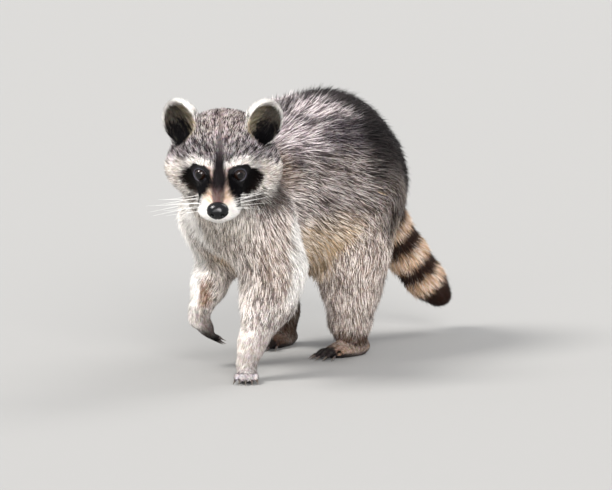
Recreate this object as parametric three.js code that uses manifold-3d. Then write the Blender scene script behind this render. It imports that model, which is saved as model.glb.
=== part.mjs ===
// A walking raccoon, life size, as one still model divided into its named parts.
// Millimetres, +Z up. The animal walks along +X, its left side is +Y, and its feet stand on Z = 0.
//
// The body is one smooth volume: a list of tapered bones and ellipsoids, melted together by a smooth union.
// Each named part is the skin of that volume inside its own region, trimmed by flat cuts where parts meet.
import * as THREE from "three";
import { mergeVertices } from "three/addons/utils/BufferGeometryUtils.js";
import Module from "manifold-3d";

const wasm = await Module();
wasm.setup();

const vec = (x, y, z) => new THREE.Vector3(x, y, z);
const rad = THREE.MathUtils.degToRad;
const lerp = THREE.MathUtils.lerp;
const clamp = THREE.MathUtils.clamp;

// ---------------------------------------------------------------- driving dimensions

const PART_GAP = 0.5; // between parts that meet at a cut

const HEAD = {
  eyes: vec(213, 60.5, 239.5), // midway between the two eyes
  yaw: 27, // turned to the animal's left of its walking direction
  pitch: 21, // nose down
};
const EYE = { side: 19.6, radius: 8.2, sink: 4.8, outward: 24 };
const NOSE = { front: 55, drop: 22, halfLength: 9.5, halfWidth: 11.6, halfHeight: 9.4, nostrilSide: 5.2 };
const EAR = {
  back: 52,
  side: 42.5,
  up: 33,
  halfWidth: 22,
  halfHeight: 28.5,
  halfDepth: 15,
  wall: 4,
  cupForward: 9,
  cupUp: 3,
  lean: 31,
  recline: 8,
  turn: 20,
};

// Spine stations from breast to rump: centre, half width and half height of the furred trunk.
const TRUNK = [
  { at: vec(96, 8, 188), wide: 46, tall: 58 },
  { at: vec(60, 3, 192), wide: 58, tall: 74 },
  { at: vec(0, -1, 194), wide: 74, tall: 88 },
  { at: vec(-60, -2, 198), wide: 86, tall: 101 },
  { at: vec(-120, 0, 198), wide: 90, tall: 105 },
  { at: vec(-160, 2, 190), wide: 78, tall: 90 },
];
const NECK = [
  { at: vec(108, 14, 200), wide: 48, tall: 54 },
  { at: vec(147, 33, 215), wide: 45, tall: 44 },
];
const NECK_END = { back: 62, drop: 8, wide: 48, tall: 42 }; // inside the head
const TAIL = [
  { at: vec(-186, 2, 196), r: 34 },
  { at: vec(-222, 4, 171), r: 29 },
  { at: vec(-256, 9, 133), r: 26 },
  { at: vec(-284, 20, 95), r: 25 },
  { at: vec(-306, 34, 63), r: 23 },
  { at: vec(-320, 44, 45), r: 17 },
];
const TAIL_CUTS = [0.08, 0.3, 0.5, 0.68, 0.84]; // where the lengths of the tail meet, as shares of its path
const TAIL_NAMES = ["tail_base", "tail_upper", "tail_middle", "tail_lower", "tail_tip"];

// Leg joints from the body down, each with the radius of the furred leg there.
const LEGS = {
  fore_left: [
    { at: vec(110, 46, 176), r: 46 },
    { at: vec(90, 55, 122), r: 38 },
    { at: vec(97, 53, 88), r: 32 },
    { at: vec(122, 47, 42), r: 14.5 },
    { at: vec(132, 45, 18), r: 12.5 },
  ],
  fore_right: [
    { at: vec(78, -36, 172), r: 37 },
    { at: vec(36, -46, 124), r: 28 },
    { at: vec(60, -47, 92), r: 20 },
    { at: vec(76, -50, 65), r: 11 },
    { at: vec(80, -51, 55), r: 10 },
  ],
  hind_left: [
    { at: vec(-112, 48, 178), r: 56 },
    { at: vec(-80, 62, 118), r: 42 },
    { at: vec(-80, 59, 84), r: 36 },
    { at: vec(-90, 52, 40), r: 25 },
    { at: vec(-94, 52, 20), r: 17 },
  ],
  hind_right: [
    { at: vec(-126, -48, 178), r: 56 },
    { at: vec(-96, -60, 116), r: 40 },
    { at: vec(-100, -59, 84), r: 32 },
    { at: vec(-119, -56, 42), r: 20 },
    { at: vec(-122, -55, 20), r: 15 },
  ],
};

const LEG_PART_NAMES = { fore: ["upper_arm", "forearm", "paw"], hind: ["thigh", "shank", "foot"] };

// The plane that parts each leg from the trunk rises outwards by tilt from the groin. The leg reaches so far
// before and behind the middle of its thigh or upper arm.
const LEG_TOP = {
  tilt: 48,
  groinSide: 10,
  groinHeight: { fore: 104, hind: 86 },
  reach: { fore: 56, hind: 74 },
};
const MOUTH = { corner: -4, z: -31, slope: -0.12 };

// Paws, each in its own frame: x to the toes, the sole on z = 0, the origin under the wrist or ankle.
const PAW = {
  fore: {
    palm: [{ at: [7, 0, 7], size: [19, 12, 9.5] }],
    toes: { lengths: [14, 19, 21, 19, 14], radius: 3.3, apart: 4.7, fan: 6, rootX: 15 },
  },
  hind: {
    palm: [
      { at: [12, 0, 7.5], size: [36, 14.5, 10.5] },
      { at: [-6, 0, 10], size: [20, 12, 12] },
    ],
    toes: { lengths: [15, 20, 22, 20, 15], radius: 4, apart: 6, fan: 7, rootX: 36 },
  },
  rootZ: 7,
  tipZ: 3.6,
  knuckleLift: 6,
};
const CLAW = { radius: 1.6, length: 9, dip: 22, reach: 3 };
const PAW_PLACES = {
  fore_left: { at: vec(130, 45, 0), heading: 28, droop: 0 },
  fore_right: { at: vec(72, -46, 60), heading: -30, droop: 126 },
  hind_left: { at: vec(-94, 53, 0), heading: -12, droop: 0 },
  hind_right: { at: vec(-122, -56, 0), heading: 4, droop: 0 },
};
const CELL = { trunk: 24, neck: 17, leg: 16.5, paw: 10, tail: 16 };
const CELL_STRETCH = 1.45; // how much longer a cell is along a limb than across it
const ROOM_MARGIN = { trunk: 130, neck: 96, leg: 96, tail: 100 }; // round the joints, to take in the flesh

const FINISH = {
  coat: { color: 0x847a72, roughness: 0.95 },
  pale_coat: { color: 0xb9ab98, roughness: 0.95 },
  face: { color: 0x9a9089, roughness: 0.9 },
  ear: { color: 0xcfc8bf, roughness: 0.95 },
  ring_dark: { color: 0x3a2c24, roughness: 0.95 },
  ring_pale: { color: 0xb08c68, roughness: 0.95 },
  paw: { color: 0x4c4541, roughness: 0.75 },
  nose: { color: 0x15161a, roughness: 0.35 },
  eye: { color: 0x140d0a, roughness: 0.08 },
};

// ---------------------------------------------------------------- fields: negative inside, in millimetres

const smoothUnion = (a, b, blend) => {
  const h = Math.max(blend - Math.abs(a - b), 0) / blend;
  return Math.min(a, b) - (h * h * blend) / 4;
};

// An ellipsoid with half sizes size, turned by the optional quaternion.
function ellipsoid(centre, size, turn = new THREE.Quaternion()) {
  const undo = turn.clone().invert();
  const q = vec(0, 0, 0);
  return (p) => {
    q.copy(p).sub(centre).applyQuaternion(undo);
    const k0 = Math.hypot(q.x / size.x, q.y / size.y, q.z / size.z);
    const k1 = Math.hypot(q.x / size.x ** 2, q.y / size.y ** 2, q.z / size.z ** 2);
    return k1 < 1e-9 ? -Math.min(size.x, size.y, size.z) : (k0 * (k0 - 1)) / k1;
  };
}

// A tapered bone with round ends between two stations, elliptical where they give wide and tall.
function bone(a, b, sideways = vec(0, 1, 0)) {
  const along = b.at.clone().sub(a.at);
  const length2 = along.lengthSq();
  const forward = along.clone().normalize();
  const side = sideways.clone().addScaledVector(forward, -sideways.dot(forward)).normalize();
  const up = forward.clone().cross(side);
  const [wideA, tallA] = [a.wide ?? a.r, a.tall ?? a.r];
  const [wideB, tallB] = [b.wide ?? b.r, b.tall ?? b.r];
  const q = vec(0, 0, 0);
  return (p) => {
    q.copy(p).sub(a.at);
    const h = clamp(q.dot(along) / length2, 0, 1);
    q.addScaledVector(along, -h);
    const wide = lerp(wideA, wideB, h);
    const tall = lerp(tallA, tallB, h);
    const least = Math.min(wide, tall);
    return (Math.hypot(q.dot(side) / wide, q.dot(up) / tall, q.dot(forward) / least) - 1) * least;
  };
}

// Bones through a list of stations, melted into one limb.
function limb(stations, blend, sideways) {
  const bones = stations.slice(1).map((station, i) => bone(stations[i], station, sideways));
  return (p) => bones.reduce((sum, each) => smoothUnion(sum, each(p), blend), 1e3);
}

const union = (fields, blend) => (p) => fields.reduce((sum, each) => smoothUnion(sum, each(p), blend), 1e3);

// ---------------------------------------------------------------- head

// The head has its own frame: x to the nose, the origin between the eyes.

const headFrame = new THREE.Matrix4()
  .makeRotationFromEuler(new THREE.Euler(0, rad(HEAD.pitch), rad(HEAD.yaw), "ZYX"))
  .setPosition(HEAD.eyes);
const headTurn = new THREE.Quaternion().setFromRotationMatrix(headFrame);
const onHead = (x, y, z) => vec(x, y, z).applyMatrix4(headFrame);
const headBall = (x, y, z, sx, sy, sz) => ellipsoid(onHead(x, y, z), vec(sx, sy, sz), headTurn);
const headSide = vec(0, 1, 0).applyQuaternion(headTurn);

function skull() {
  const muzzle = bone(
    { at: onHead(-8, 0, -12), wide: 29, tall: 23 },
    { at: onHead(40, 0, -26), wide: 16.5, tall: 12.5 },
    headSide,
  );
  const jaw = bone(
    { at: onHead(-34, 0, -34), wide: 26, tall: 18 },
    { at: onHead(30, 0, -39), wide: 9.5, tall: 6.5 },
    headSide,
  );
  const pads = [1, -1].map((s) => headBall(25, 11.5 * s, -29, 17, 12.5, 10.5));
  const bridge = bone(
    { at: onHead(-14, 0, 6), wide: 17, tall: 15 },
    { at: onHead(42, 0, -20), wide: 8.5, tall: 8 },
    headSide,
  );
  const cheeks = [1, -1].map((s) => headBall(-46, 34 * s, -14, 30, 30, 30));
  const brows = [1, -1].map((s) => headBall(-22, 22 * s, 12, 20, 19, 15));
  const cranium = headBall(-50, 0, 8, 50, 50, 38);
  return union([union([muzzle, bridge, jaw, ...pads], 7), union([cranium, ...cheeks, ...brows], 16)], 12);
}

// ---------------------------------------------------------------- the whole body

const trunkFlesh = limb(TRUNK, 16);
const neckFlesh = limb(
  [...NECK, { at: onHead(-NECK_END.back, 0, -NECK_END.drop), wide: NECK_END.wide, tall: NECK_END.tall }],
  14,
  vec(-0.3, 1, 0),
);
const tailFlesh = limb(TAIL, 14);
const legFlesh = Object.fromEntries(Object.entries(LEGS).map(([name, joints]) => [name, limb(joints, 10)]));
const skullFlesh = skull();

const bodyFlesh = (p) => {
  let flesh = smoothUnion(trunkFlesh(p), neckFlesh(p), 24);
  for (const leg of Object.values(legFlesh)) flesh = smoothUnion(flesh, leg(p), 22);
  flesh = smoothUnion(flesh, tailFlesh(p), 24);
  return smoothUnion(flesh, skullFlesh(p), 18);
};

// ---------------------------------------------------------------- from field to solid

// Grid lines along one axis, each the local spacing after the last, with one beyond each end.
function gridLine(from, to, spacing) {
  const line = [from - 1.5 * spacing(from)];
  while (line.at(-1) <= to) line.push(line.at(-1) + spacing(line.at(-1)));
  return line;
}

// A closed mesh of the field's zero surface inside a box that lies in its own frame, by surface nets: one
// vertex for each cell that the surface crosses, drawn onto the surface, and one quad for each grid edge.
function skinOf(field, { frame, from, to, spacing }) {
  const lines = ["x", "y", "z"].map((axis, i) => gridLine(from[axis], to[axis], spacing[i]));
  const n = lines.map((line) => line.length);
  const middle = from.clone().add(to).multiplyScalar(0.5);
  const half = to.clone().sub(from).multiplyScalar(0.5);
  const world = vec(0, 0, 0);
  const bounded = (p) =>
    Math.max(
      field(world.copy(p).applyMatrix4(frame)),
      Math.abs(p.x - middle.x) - half.x,
      Math.abs(p.y - middle.y) - half.y,
      Math.abs(p.z - middle.z) - half.z,
    );
  const step = [1, n[0], n[0] * n[1]];
  const at = (i, j, k) => i + j * step[1] + k * step[2];
  const gridPoint = (i, j, k) => vec(lines[0][i], lines[1][j], lines[2][k]);
  const value = new Float64Array(n[0] * n[1] * n[2]);
  for (let k = 0; k < n[2]; k++)
    for (let j = 0; j < n[1]; j++)
      for (let i = 0; i < n[0]; i++) value[at(i, j, k)] = bounded(gridPoint(i, j, k));
  joinDiagonals(value, n, step);

  const corners = [0, 1, 2, 3, 4, 5, 6, 7].map((c) => [c & 1, (c >> 1) & 1, (c >> 2) & 1]);
  const edges = [0, 1, 2].flatMap((axis) =>
    corners.filter((c) => !c[axis]).map((c) => [c, c.map((x, a) => (a === axis ? 1 : x))]),
  );
  const vertices = [];
  const vertexOf = new Map();
  for (let k = 0; k < n[2] - 1; k++)
    for (let j = 0; j < n[1] - 1; j++)
      for (let i = 0; i < n[0] - 1; i++) {
        const crossings = [];
        for (const [a, b] of edges) {
          const va = value[at(i + a[0], j + a[1], k + a[2])];
          const vb = value[at(i + b[0], j + b[1], k + b[2])];
          if (va < 0 === vb < 0) continue;
          const start = gridPoint(i + a[0], j + a[1], k + a[2]);
          crossings.push(start.lerp(gridPoint(i + b[0], j + b[1], k + b[2]), va / (va - vb)));
        }
        if (!crossings.length) continue;
        const vertex = vec(0, 0, 0);
        for (const crossing of crossings) vertex.addScaledVector(crossing, 1 / crossings.length);
        drawOnto(bounded, vertex, (lines[0][i + 1] - lines[0][i]) / 2);
        vertexOf.set(at(i, j, k), vertices.length);
        vertices.push(vertex);
      }

  const triangles = [];
  for (let k = 1; k < n[2] - 1; k++)
    for (let j = 1; j < n[1] - 1; j++)
      for (let i = 1; i < n[0] - 1; i++)
        for (let axis = 0; axis < 3; axis++) {
          const here = at(i, j, k);
          const inside = value[here] < 0;
          if (inside === value[here + step[axis]] < 0) continue;
          const [u, v] = [step[(axis + 1) % 3], step[(axis + 2) % 3]];
          let quad = [here - u - v, here - v, here, here - u].map((cell) => vertexOf.get(cell));
          if (!inside) quad.reverse();
          const [a, b, c, d] = quad.map((vertex) => vertices[vertex]);
          if (a.distanceTo(c) > b.distanceTo(d)) quad = [...quad.slice(1), quad[0]];
          triangles.push(quad[0], quad[1], quad[2], quad[0], quad[2], quad[3]);
        }
  return new wasm.Manifold(
    new wasm.Mesh({
      numProp: 3,
      vertProperties: new Float32Array(vertices.flatMap((vertex) => vertex.applyMatrix4(frame).toArray())),
      triVerts: new Uint32Array(triangles),
    }),
  );
}

// The room round some stations of a limb, in a frame whose x runs from the first to the last of them.
function roomAlong(stations, margin, cell) {
  const points = stations.map(({ at }) => at);
  const along = points.at(-1).clone().sub(points[0]).normalize();
  const turn = new THREE.Quaternion().setFromUnitVectors(vec(1, 0, 0), along);
  const undo = turn.clone().invert();
  const frame = new THREE.Matrix4().makeRotationFromQuaternion(turn);
  const box = new THREE.Box3().setFromPoints(points.map((point) => point.clone().applyQuaternion(undo)));
  box.expandByScalar(margin);
  return { frame, from: box.min, to: box.max, spacing: [() => cell * CELL_STRETCH, () => cell, () => cell] };
}

// Where the flesh touches itself only across the diagonal of a grid square, a surface net would meet itself
// along an edge. The nearer of the two empty corners is filled there, until no such square is left.
function joinDiagonals(value, n, step) {
  const inside = (c) => value[c] < 0;
  let filled = true;
  while (filled) {
    filled = false;
    for (let here = 0; here < value.length - step[1] - step[2]; here++)
      for (let axis = 0; axis < 3; axis++) {
        const [u, v] = [step[(axis + 1) % 3], step[(axis + 2) % 3]];
        const [a, b, c, d] = [here, here + u, here + u + v, here + v];
        if (inside(a) !== inside(c) || inside(b) !== inside(d) || inside(a) === inside(b)) continue;
        const empty = inside(a) ? [b, d] : [a, c];
        value[value[empty[0]] < value[empty[1]] ? empty[0] : empty[1]] = -1e-3;
        filled = true;
      }
  }
}

// Moves p along the field's slope onto its zero surface, at most by reach.
function drawOnto(field, p, reach) {
  const h = 0.2;
  const start = p.clone();
  const q = vec(0, 0, 0);
  for (let turn = 0; turn < 4; turn++) {
    const f = field(p);
    const slope = vec(
      field(q.copy(p).setX(p.x + h)) - field(q.copy(p).setX(p.x - h)),
      field(q.copy(p).setY(p.y + h)) - field(q.copy(p).setY(p.y - h)),
      field(q.copy(p).setZ(p.z + h)) - field(q.copy(p).setZ(p.z - h)),
    ).divideScalar(2 * h);
    p.addScaledVector(slope, -f / Math.max(slope.lengthSq(), 0.2));
  }
  const moved = p.clone().sub(start);
  if (moved.length() > reach) p.copy(start).addScaledVector(moved, reach / moved.length());
}

// A three.js geometry as a manifold solid.
function solid(geometry) {
  const bare = geometry.clone();
  bare.deleteAttribute("normal");
  bare.deleteAttribute("uv");
  const merged = mergeVertices(bare, 1e-4);
  return new wasm.Manifold(
    new wasm.Mesh({
      numProp: 3,
      vertProperties: merged.attributes.position.array,
      triVerts: new Uint32Array(merged.index.array),
    }),
  );
}

// A large block whose one face is the plane through point, on the side that normal points to.
const BLOCK = 1500;
function blockBeyond([point, normal], gap = PART_GAP) {
  const turn = new THREE.Quaternion().setFromUnitVectors(vec(0, 0, 1), normal.clone().normalize());
  const geometry = new THREE.BoxGeometry(BLOCK, BLOCK, BLOCK)
    .translate(0, 0, BLOCK / 2 + gap / 2)
    .applyQuaternion(turn)
    .translate(point.x, point.y, point.z);
  return solid(geometry);
}

// The room on the inner side of several planes. A negative gap makes it reach past them.
const wedge = (planes, gap = PART_GAP) =>
  planes.map((plane) => blockBeyond(plane, gap)).reduce((room, block) => room.intersect(block));

// ---------------------------------------------------------------- cuts between the parts

// A cut is a point and the direction in which the part lies.

const flip = ([point, normal]) => [point, normal.clone().negate()];

const headCuts = [
  [onHead(-66, 0, -14), vec(1, 0, 0.25).applyQuaternion(headTurn)],
  [onHead(-20, 0, -62), vec(0.55, 0, 0.83).applyQuaternion(headTurn)],
];
const neckCut = [vec(122, 20, 196), vec(0.84, 0.44, 0.3)];
const jawCut = [
  [onHead(MOUTH.corner, 0, MOUTH.z), vec(MOUTH.slope, 0, -1).applyQuaternion(headTurn)],
  [onHead(MOUTH.corner, 0, MOUTH.z), vec(1, 0, -0.15).applyQuaternion(headTurn)],
];

// Where a leg leaves the trunk: a plane rising outwards from the groin, one before and one behind the leg.
function legWedge(name) {
  const [top, middle] = LEGS[name];
  const { tilt, groinSide } = LEG_TOP;
  const [kind] = name.split("_");
  const [reach, groinHeight] = [LEG_TOP.reach[kind], LEG_TOP.groinHeight[kind]];
  const side = Math.sign(top.at.y);
  const x = (top.at.x + middle.at.x) / 2;
  return [
    [vec(x, side * groinSide, groinHeight), vec(0, side * Math.sin(rad(tilt)), -Math.cos(rad(tilt)))],
    [vec(x + reach, 0, 0), vec(-1, 0, 0)],
    [vec(x - reach, 0, 0), vec(1, 0, 0)],
  ];
}

// The plane across a limb at one of its joints, facing down the limb.
function acrossLimb(joints, index) {
  const before = joints[index - 1].at;
  const after = joints[index + 1].at;
  return [joints[index].at, after.clone().sub(before)];
}

// ---------------------------------------------------------------- paws

// One toe with its claw: a round finger bent over its knuckle, in the paw's frame.
function toe(root, tip, radius) {
  const knuckle = root.clone().lerp(tip, 0.45).add(vec(0, 0, PAW.knuckleLift));
  const path = new THREE.QuadraticBezierCurve3(root, knuckle, tip);
  const finger = new THREE.SphereGeometry(1, 5, 4).rotateZ(-Math.PI / 2);
  const place = finger.attributes.position;
  for (let i = 0; i < place.count; i++) {
    const t = (place.getX(i) + 1) / 2;
    const side = path.getTangent(t).cross(vec(0, 0, 1)).normalize();
    const up = side.clone().cross(path.getTangent(t));
    const point = path.getPoint(t);
    point.addScaledVector(side, -place.getY(i) * radius).addScaledVector(up, place.getZ(i) * radius);
    place.setXYZ(i, point.x, point.y, point.z);
  }
  const heading = tip.clone().sub(root).setZ(0).normalize();
  const claw = new THREE.ConeGeometry(CLAW.radius, CLAW.length, 3)
    .rotateZ(-Math.PI / 2)
    .rotateY(rad(CLAW.dip))
    .rotateZ(Math.atan2(heading.y, heading.x))
    .translate(tip.x, tip.y, tip.z)
    .translate(heading.x * CLAW.reach, heading.y * CLAW.reach, 0.6);
  return solid(finger).add(solid(claw));
}

// A paw in its own frame: x to the toes, sole on z = 0, origin under the wrist or ankle.
function pawSolid(kind, legField, frame) {
  const { palm, toes } = PAW[kind];
  const inPaw = (x, y, z) => vec(x, y, z).applyMatrix4(frame);
  const turn = new THREE.Quaternion().setFromRotationMatrix(frame);
  const pads = palm.map(({ at, size }) => ellipsoid(inPaw(...at), vec(...size), turn));
  const flesh = union([legField, ...pads], 6);
  const reach = palm[0].at[0] + palm[0].size[0];
  let paw = skinOf(flesh, {
    frame,
    from: vec(-42, -42, -12),
    to: vec(reach + 4, 42, 48),
    spacing: [() => CELL.paw, () => CELL.paw, () => CELL.paw],
  });
  toes.lengths.forEach((length, i) => {
    const angle = rad(toes.fan * (i - 2));
    const root = vec(toes.rootX * Math.cos(angle), toes.apart * (i - 2), PAW.rootZ);
    const tip = root.clone().add(vec(length * Math.cos(angle), length * Math.sin(angle), 0)).setZ(PAW.tipZ);
    paw = paw.add(toe(root, tip, toes.radius).transform(frame.toArray()));
  });
  return paw;
}

// ---------------------------------------------------------------- the parts

const raccoon = new THREE.Group();

function addPart(name, manifold, finish) {
  const { vertProperties, triVerts } = manifold.getMesh();
  const geometry = new THREE.BufferGeometry()
    .setAttribute("position", new THREE.BufferAttribute(vertProperties, 3))
    .setIndex(new THREE.BufferAttribute(triVerts, 1));
  geometry.computeVertexNormals();
  const mesh = new THREE.Mesh(geometry, new THREE.MeshStandardMaterial({ metalness: 0, ...FINISH[finish] }));
  mesh.name = name;
  raccoon.add(mesh);
}

// The largest connected piece, which leaves out crumbs that a cut takes off a neighbouring form.
const largest = (manifold) => manifold.decompose().sort((a, b) => b.volume() - a.volume())[0];

const stationPoints = (stations) => stations.map(({ at }) => at);

const floor = blockBeyond([vec(0, 0, 0), vec(0, 0, 1)], 0);

const lessLegs = (flesh) =>
  Object.keys(LEGS).reduce((rest, name) => rest.subtract(wedge(legWedge(name), -PART_GAP)), flesh);

function addTrunkAndNeck() {
  const room = roomAlong(TRUNK, ROOM_MARGIN.trunk, CELL.trunk);
  const trunk = skinOf(bodyFlesh, room).intersect(wedge([flip(neckCut), flip(tailCuts[0])]));
  addPart("trunk", largest(lessLegs(trunk)), "coat");
  const neck = skinOf(bodyFlesh, roomAlong([...NECK, { at: HEAD.eyes }], ROOM_MARGIN.neck, CELL.neck))
    .intersect(wedge([neckCut]))
    .subtract(wedge(headCuts, -PART_GAP))
    .subtract(earSocket(1))
    .subtract(earSocket(-1));
  addPart("neck", largest(lessLegs(neck)), "coat");
}

const tailPath = new THREE.CatmullRomCurve3(stationPoints(TAIL));
const tailCuts = TAIL_CUTS.map((t) => [tailPath.getPointAt(t), tailPath.getTangentAt(t)]);

function addTail() {
  const tail = lessLegs(skinOf(bodyFlesh, roomAlong(TAIL, ROOM_MARGIN.tail, CELL.tail)));
  TAIL_NAMES.forEach((name, i) => {
    const planes = [tailCuts[i]];
    if (tailCuts[i + 1]) planes.push(flip(tailCuts[i + 1]));
    addPart(name, largest(tail.intersect(wedge(planes))), i % 2 ? "ring_pale" : "ring_dark");
  });
}

function addLeg(name) {
  const joints = LEGS[name];
  const [kind] = name.split("_");
  const [upperName, lowerName, pawName] = LEG_PART_NAMES[kind];
  const middleCut = acrossLimb(joints, 2);
  const pawCut = acrossLimb(joints, 3);
  const room = roomAlong(joints, ROOM_MARGIN.leg, CELL.leg);
  const leg = skinOf(bodyFlesh, room).intersect(wedge(legWedge(name)));
  addPart(`${name}_${upperName}`, largest(leg.intersect(wedge([flip(middleCut)]))), "coat");
  addPart(`${name}_${lowerName}`, largest(leg.intersect(wedge([middleCut, flip(pawCut)]))), "pale_coat");
  const { at, heading, droop } = PAW_PLACES[name];
  const frame = new THREE.Matrix4()
    .makeRotationFromEuler(new THREE.Euler(0, rad(droop), rad(heading), "ZYX"))
    .setPosition(at);
  const paw = pawSolid(kind, legFlesh[name], frame).intersect(wedge([pawCut])).intersect(floor);
  addPart(`${name}_${pawName}`, largest(paw), "paw");
}

// Cells shrink from the back of the head to the nose, and towards the middle of the face.
const HEAD_ROOM = {
  frame: headFrame,
  from: vec(-98, -80, -76),
  to: vec(62, 80, 66),
  spacing: [
    (x) => lerp(14, 7.8, clamp((x + 60) / 50, 0, 1)),
    (y) => lerp(7.8, 14, clamp((Math.abs(y) - 25) / 30, 0, 1)),
    (z) => lerp(7.8, 13, clamp((Math.abs(z + 15) - 25) / 30, 0, 1)),
  ],
};

function addHead() {
  const nose = noseSolid();
  let head = skinOf(bodyFlesh, HEAD_ROOM).intersect(wedge(headCuts));
  const jaw = head.intersect(wedge(jawCut));
  head = head.subtract(wedge(jawCut, -PART_GAP));
  for (const side of [1, -1]) {
    const name = side > 0 ? "left" : "right";
    addPart(`eye_${name}`, eyeBall(side, EYE.radius), "eye");
    head = head.subtract(eyeBall(side, EYE.radius + PART_GAP));
    addPart(`ear_${name}`, earSolid(side), "ear");
    head = head.subtract(earSocket(side));
  }
  addPart("nose", nose, "nose");
  addPart("head", largest(head.subtract(noseSocket())), "face");
  addPart("lower_jaw", largest(jaw), "face");
}

// Where a line from a point outside first meets the flesh.
function surfaceFrom(point, direction) {
  const p = point.clone();
  for (let step = 0; step < 60; step++) p.addScaledVector(direction, 0.7 * skullFlesh(p));
  return p;
}

// An eye looks forwards and a little outwards, and lies sunk below the face by EYE.sink.
function eyeBall(side, radius) {
  const look = vec(1, side * Math.tan(rad(EYE.outward)), 0.1).applyQuaternion(headTurn).normalize();
  const lid = surfaceFrom(onHead(0, side * EYE.side, 0).addScaledVector(look, 40), look.clone().negate());
  const centre = lid.addScaledVector(look, -EYE.sink);
  return solid(new THREE.SphereGeometry(radius, 10, 7).translate(centre.x, centre.y, centre.z));
}

function placedOnHead(geometry, x, y, z) {
  return solid(geometry.translate(x, y, z).applyMatrix4(headFrame));
}

function nosePad(grow) {
  const { front, drop, halfLength, halfWidth, halfHeight } = NOSE;
  const pad = new THREE.SphereGeometry(1, 10, 7);
  pad.scale(halfLength + grow, halfWidth + grow, halfHeight + grow);
  return placedOnHead(pad, front - halfLength, 0, -drop);
}

function noseSolid() {
  let pad = nosePad(0);
  for (const side of [1, -1]) {
    const nostril = new THREE.SphereGeometry(1, 5, 4).scale(4, 2.4, 2.2);
    nostril.rotateX(side * -0.5).rotateZ(side * 0.35);
    pad = pad.subtract(placedOnHead(nostril, NOSE.front - 2, side * NOSE.nostrilSide, -NOSE.drop - 1.5));
  }
  return pad;
}

const noseSocket = () => nosePad(PART_GAP);

// An ear's own frame: z up along the ear, x out of its cup, the origin at its middle.
function earFrame(side) {
  const lean = new THREE.Euler(rad(-side * EAR.lean), rad(-EAR.recline), rad(side * EAR.turn), "ZXY");
  const turn = headTurn.clone().multiply(new THREE.Quaternion().setFromEuler(lean));
  const middle = onHead(-EAR.back, side * EAR.side, EAR.up);
  return new THREE.Matrix4().makeRotationFromQuaternion(turn).setPosition(middle);
}

const earBall = (side, halfDepth, halfWidth, halfHeight, forward = 0, up = 0) =>
  solid(
    new THREE.SphereGeometry(1, 10, 7)
      .rotateX(Math.PI / 2)
      .scale(halfDepth, halfWidth, halfHeight)
      .translate(forward, 0, up)
      .applyMatrix4(earFrame(side)),
  );

// A cupped ear: one ellipsoid hollowed by another further forwards, with its root in a socket in the head.
function earSolid(side) {
  const { halfDepth, halfWidth, halfHeight, wall, cupForward, cupUp } = EAR;
  const hollow = earBall(side, halfDepth, halfWidth - wall, halfHeight - wall, cupForward, cupUp);
  return earBall(side, halfDepth, halfWidth, halfHeight).subtract(hollow);
}

const earSocket = (side) =>
  earBall(side, EAR.halfDepth + PART_GAP, EAR.halfWidth + PART_GAP, EAR.halfHeight + PART_GAP);

addTrunkAndNeck();
addTail();
Object.keys(LEGS).forEach(addLeg);
addHead();

// The origin is on the floor under the middle of the whole animal.
const extent = new THREE.Box3().setFromObject(raccoon, true);
const middle = extent.getCenter(vec(0, 0, 0));
raccoon.position.set(-middle.x, -middle.y, -extent.min.z);

export default raccoon;
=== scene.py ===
"""A walking raccoon, life size: one skin under a coat of solid tufts, with eyes, nose, claws and whiskers.

The body's flesh is a field in millimetres, negative inside, in the same places as the solids. The skin is a
remeshed copy of the solids drawn onto that field, inside it by the depth of the coat. Each tuft of the coat
starts on the skin, bends over and ends at the solids' outline.
"""

import math

import bmesh
import bpy
import numpy as np
from mathutils import Matrix, Vector


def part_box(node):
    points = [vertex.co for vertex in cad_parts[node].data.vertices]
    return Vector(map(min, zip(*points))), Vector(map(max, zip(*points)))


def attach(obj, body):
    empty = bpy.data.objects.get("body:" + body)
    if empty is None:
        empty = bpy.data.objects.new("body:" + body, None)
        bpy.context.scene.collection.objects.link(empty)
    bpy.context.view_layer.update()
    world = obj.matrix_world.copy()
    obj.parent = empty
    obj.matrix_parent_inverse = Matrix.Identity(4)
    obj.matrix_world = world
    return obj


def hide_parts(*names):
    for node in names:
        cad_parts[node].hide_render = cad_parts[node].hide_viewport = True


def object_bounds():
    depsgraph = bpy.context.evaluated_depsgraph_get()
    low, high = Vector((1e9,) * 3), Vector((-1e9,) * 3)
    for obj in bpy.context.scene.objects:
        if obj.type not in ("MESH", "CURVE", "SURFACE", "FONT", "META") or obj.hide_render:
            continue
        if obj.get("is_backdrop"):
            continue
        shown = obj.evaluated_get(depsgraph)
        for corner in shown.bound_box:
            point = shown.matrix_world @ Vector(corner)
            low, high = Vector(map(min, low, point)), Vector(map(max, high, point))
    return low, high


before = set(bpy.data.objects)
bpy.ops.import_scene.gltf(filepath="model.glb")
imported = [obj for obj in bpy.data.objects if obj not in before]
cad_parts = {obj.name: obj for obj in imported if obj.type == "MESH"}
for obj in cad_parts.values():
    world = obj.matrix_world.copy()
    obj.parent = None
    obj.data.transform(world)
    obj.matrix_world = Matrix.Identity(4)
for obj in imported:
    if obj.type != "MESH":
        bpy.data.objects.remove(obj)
cad_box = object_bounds()
bpy.ops.object.select_all(action="DESELECT")

MM = 0.001
FAR = 1e3
SIDES = {"left": 1, "right": -1}
EYE_CENTRES = [np.array(sum(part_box(f"eye_{name}"), Vector())) / 2 / MM for name in SIDES]
draw = np.random.default_rng(408)

# ---------------------------------------------------------------- sizes, in millimetres and degrees

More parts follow.
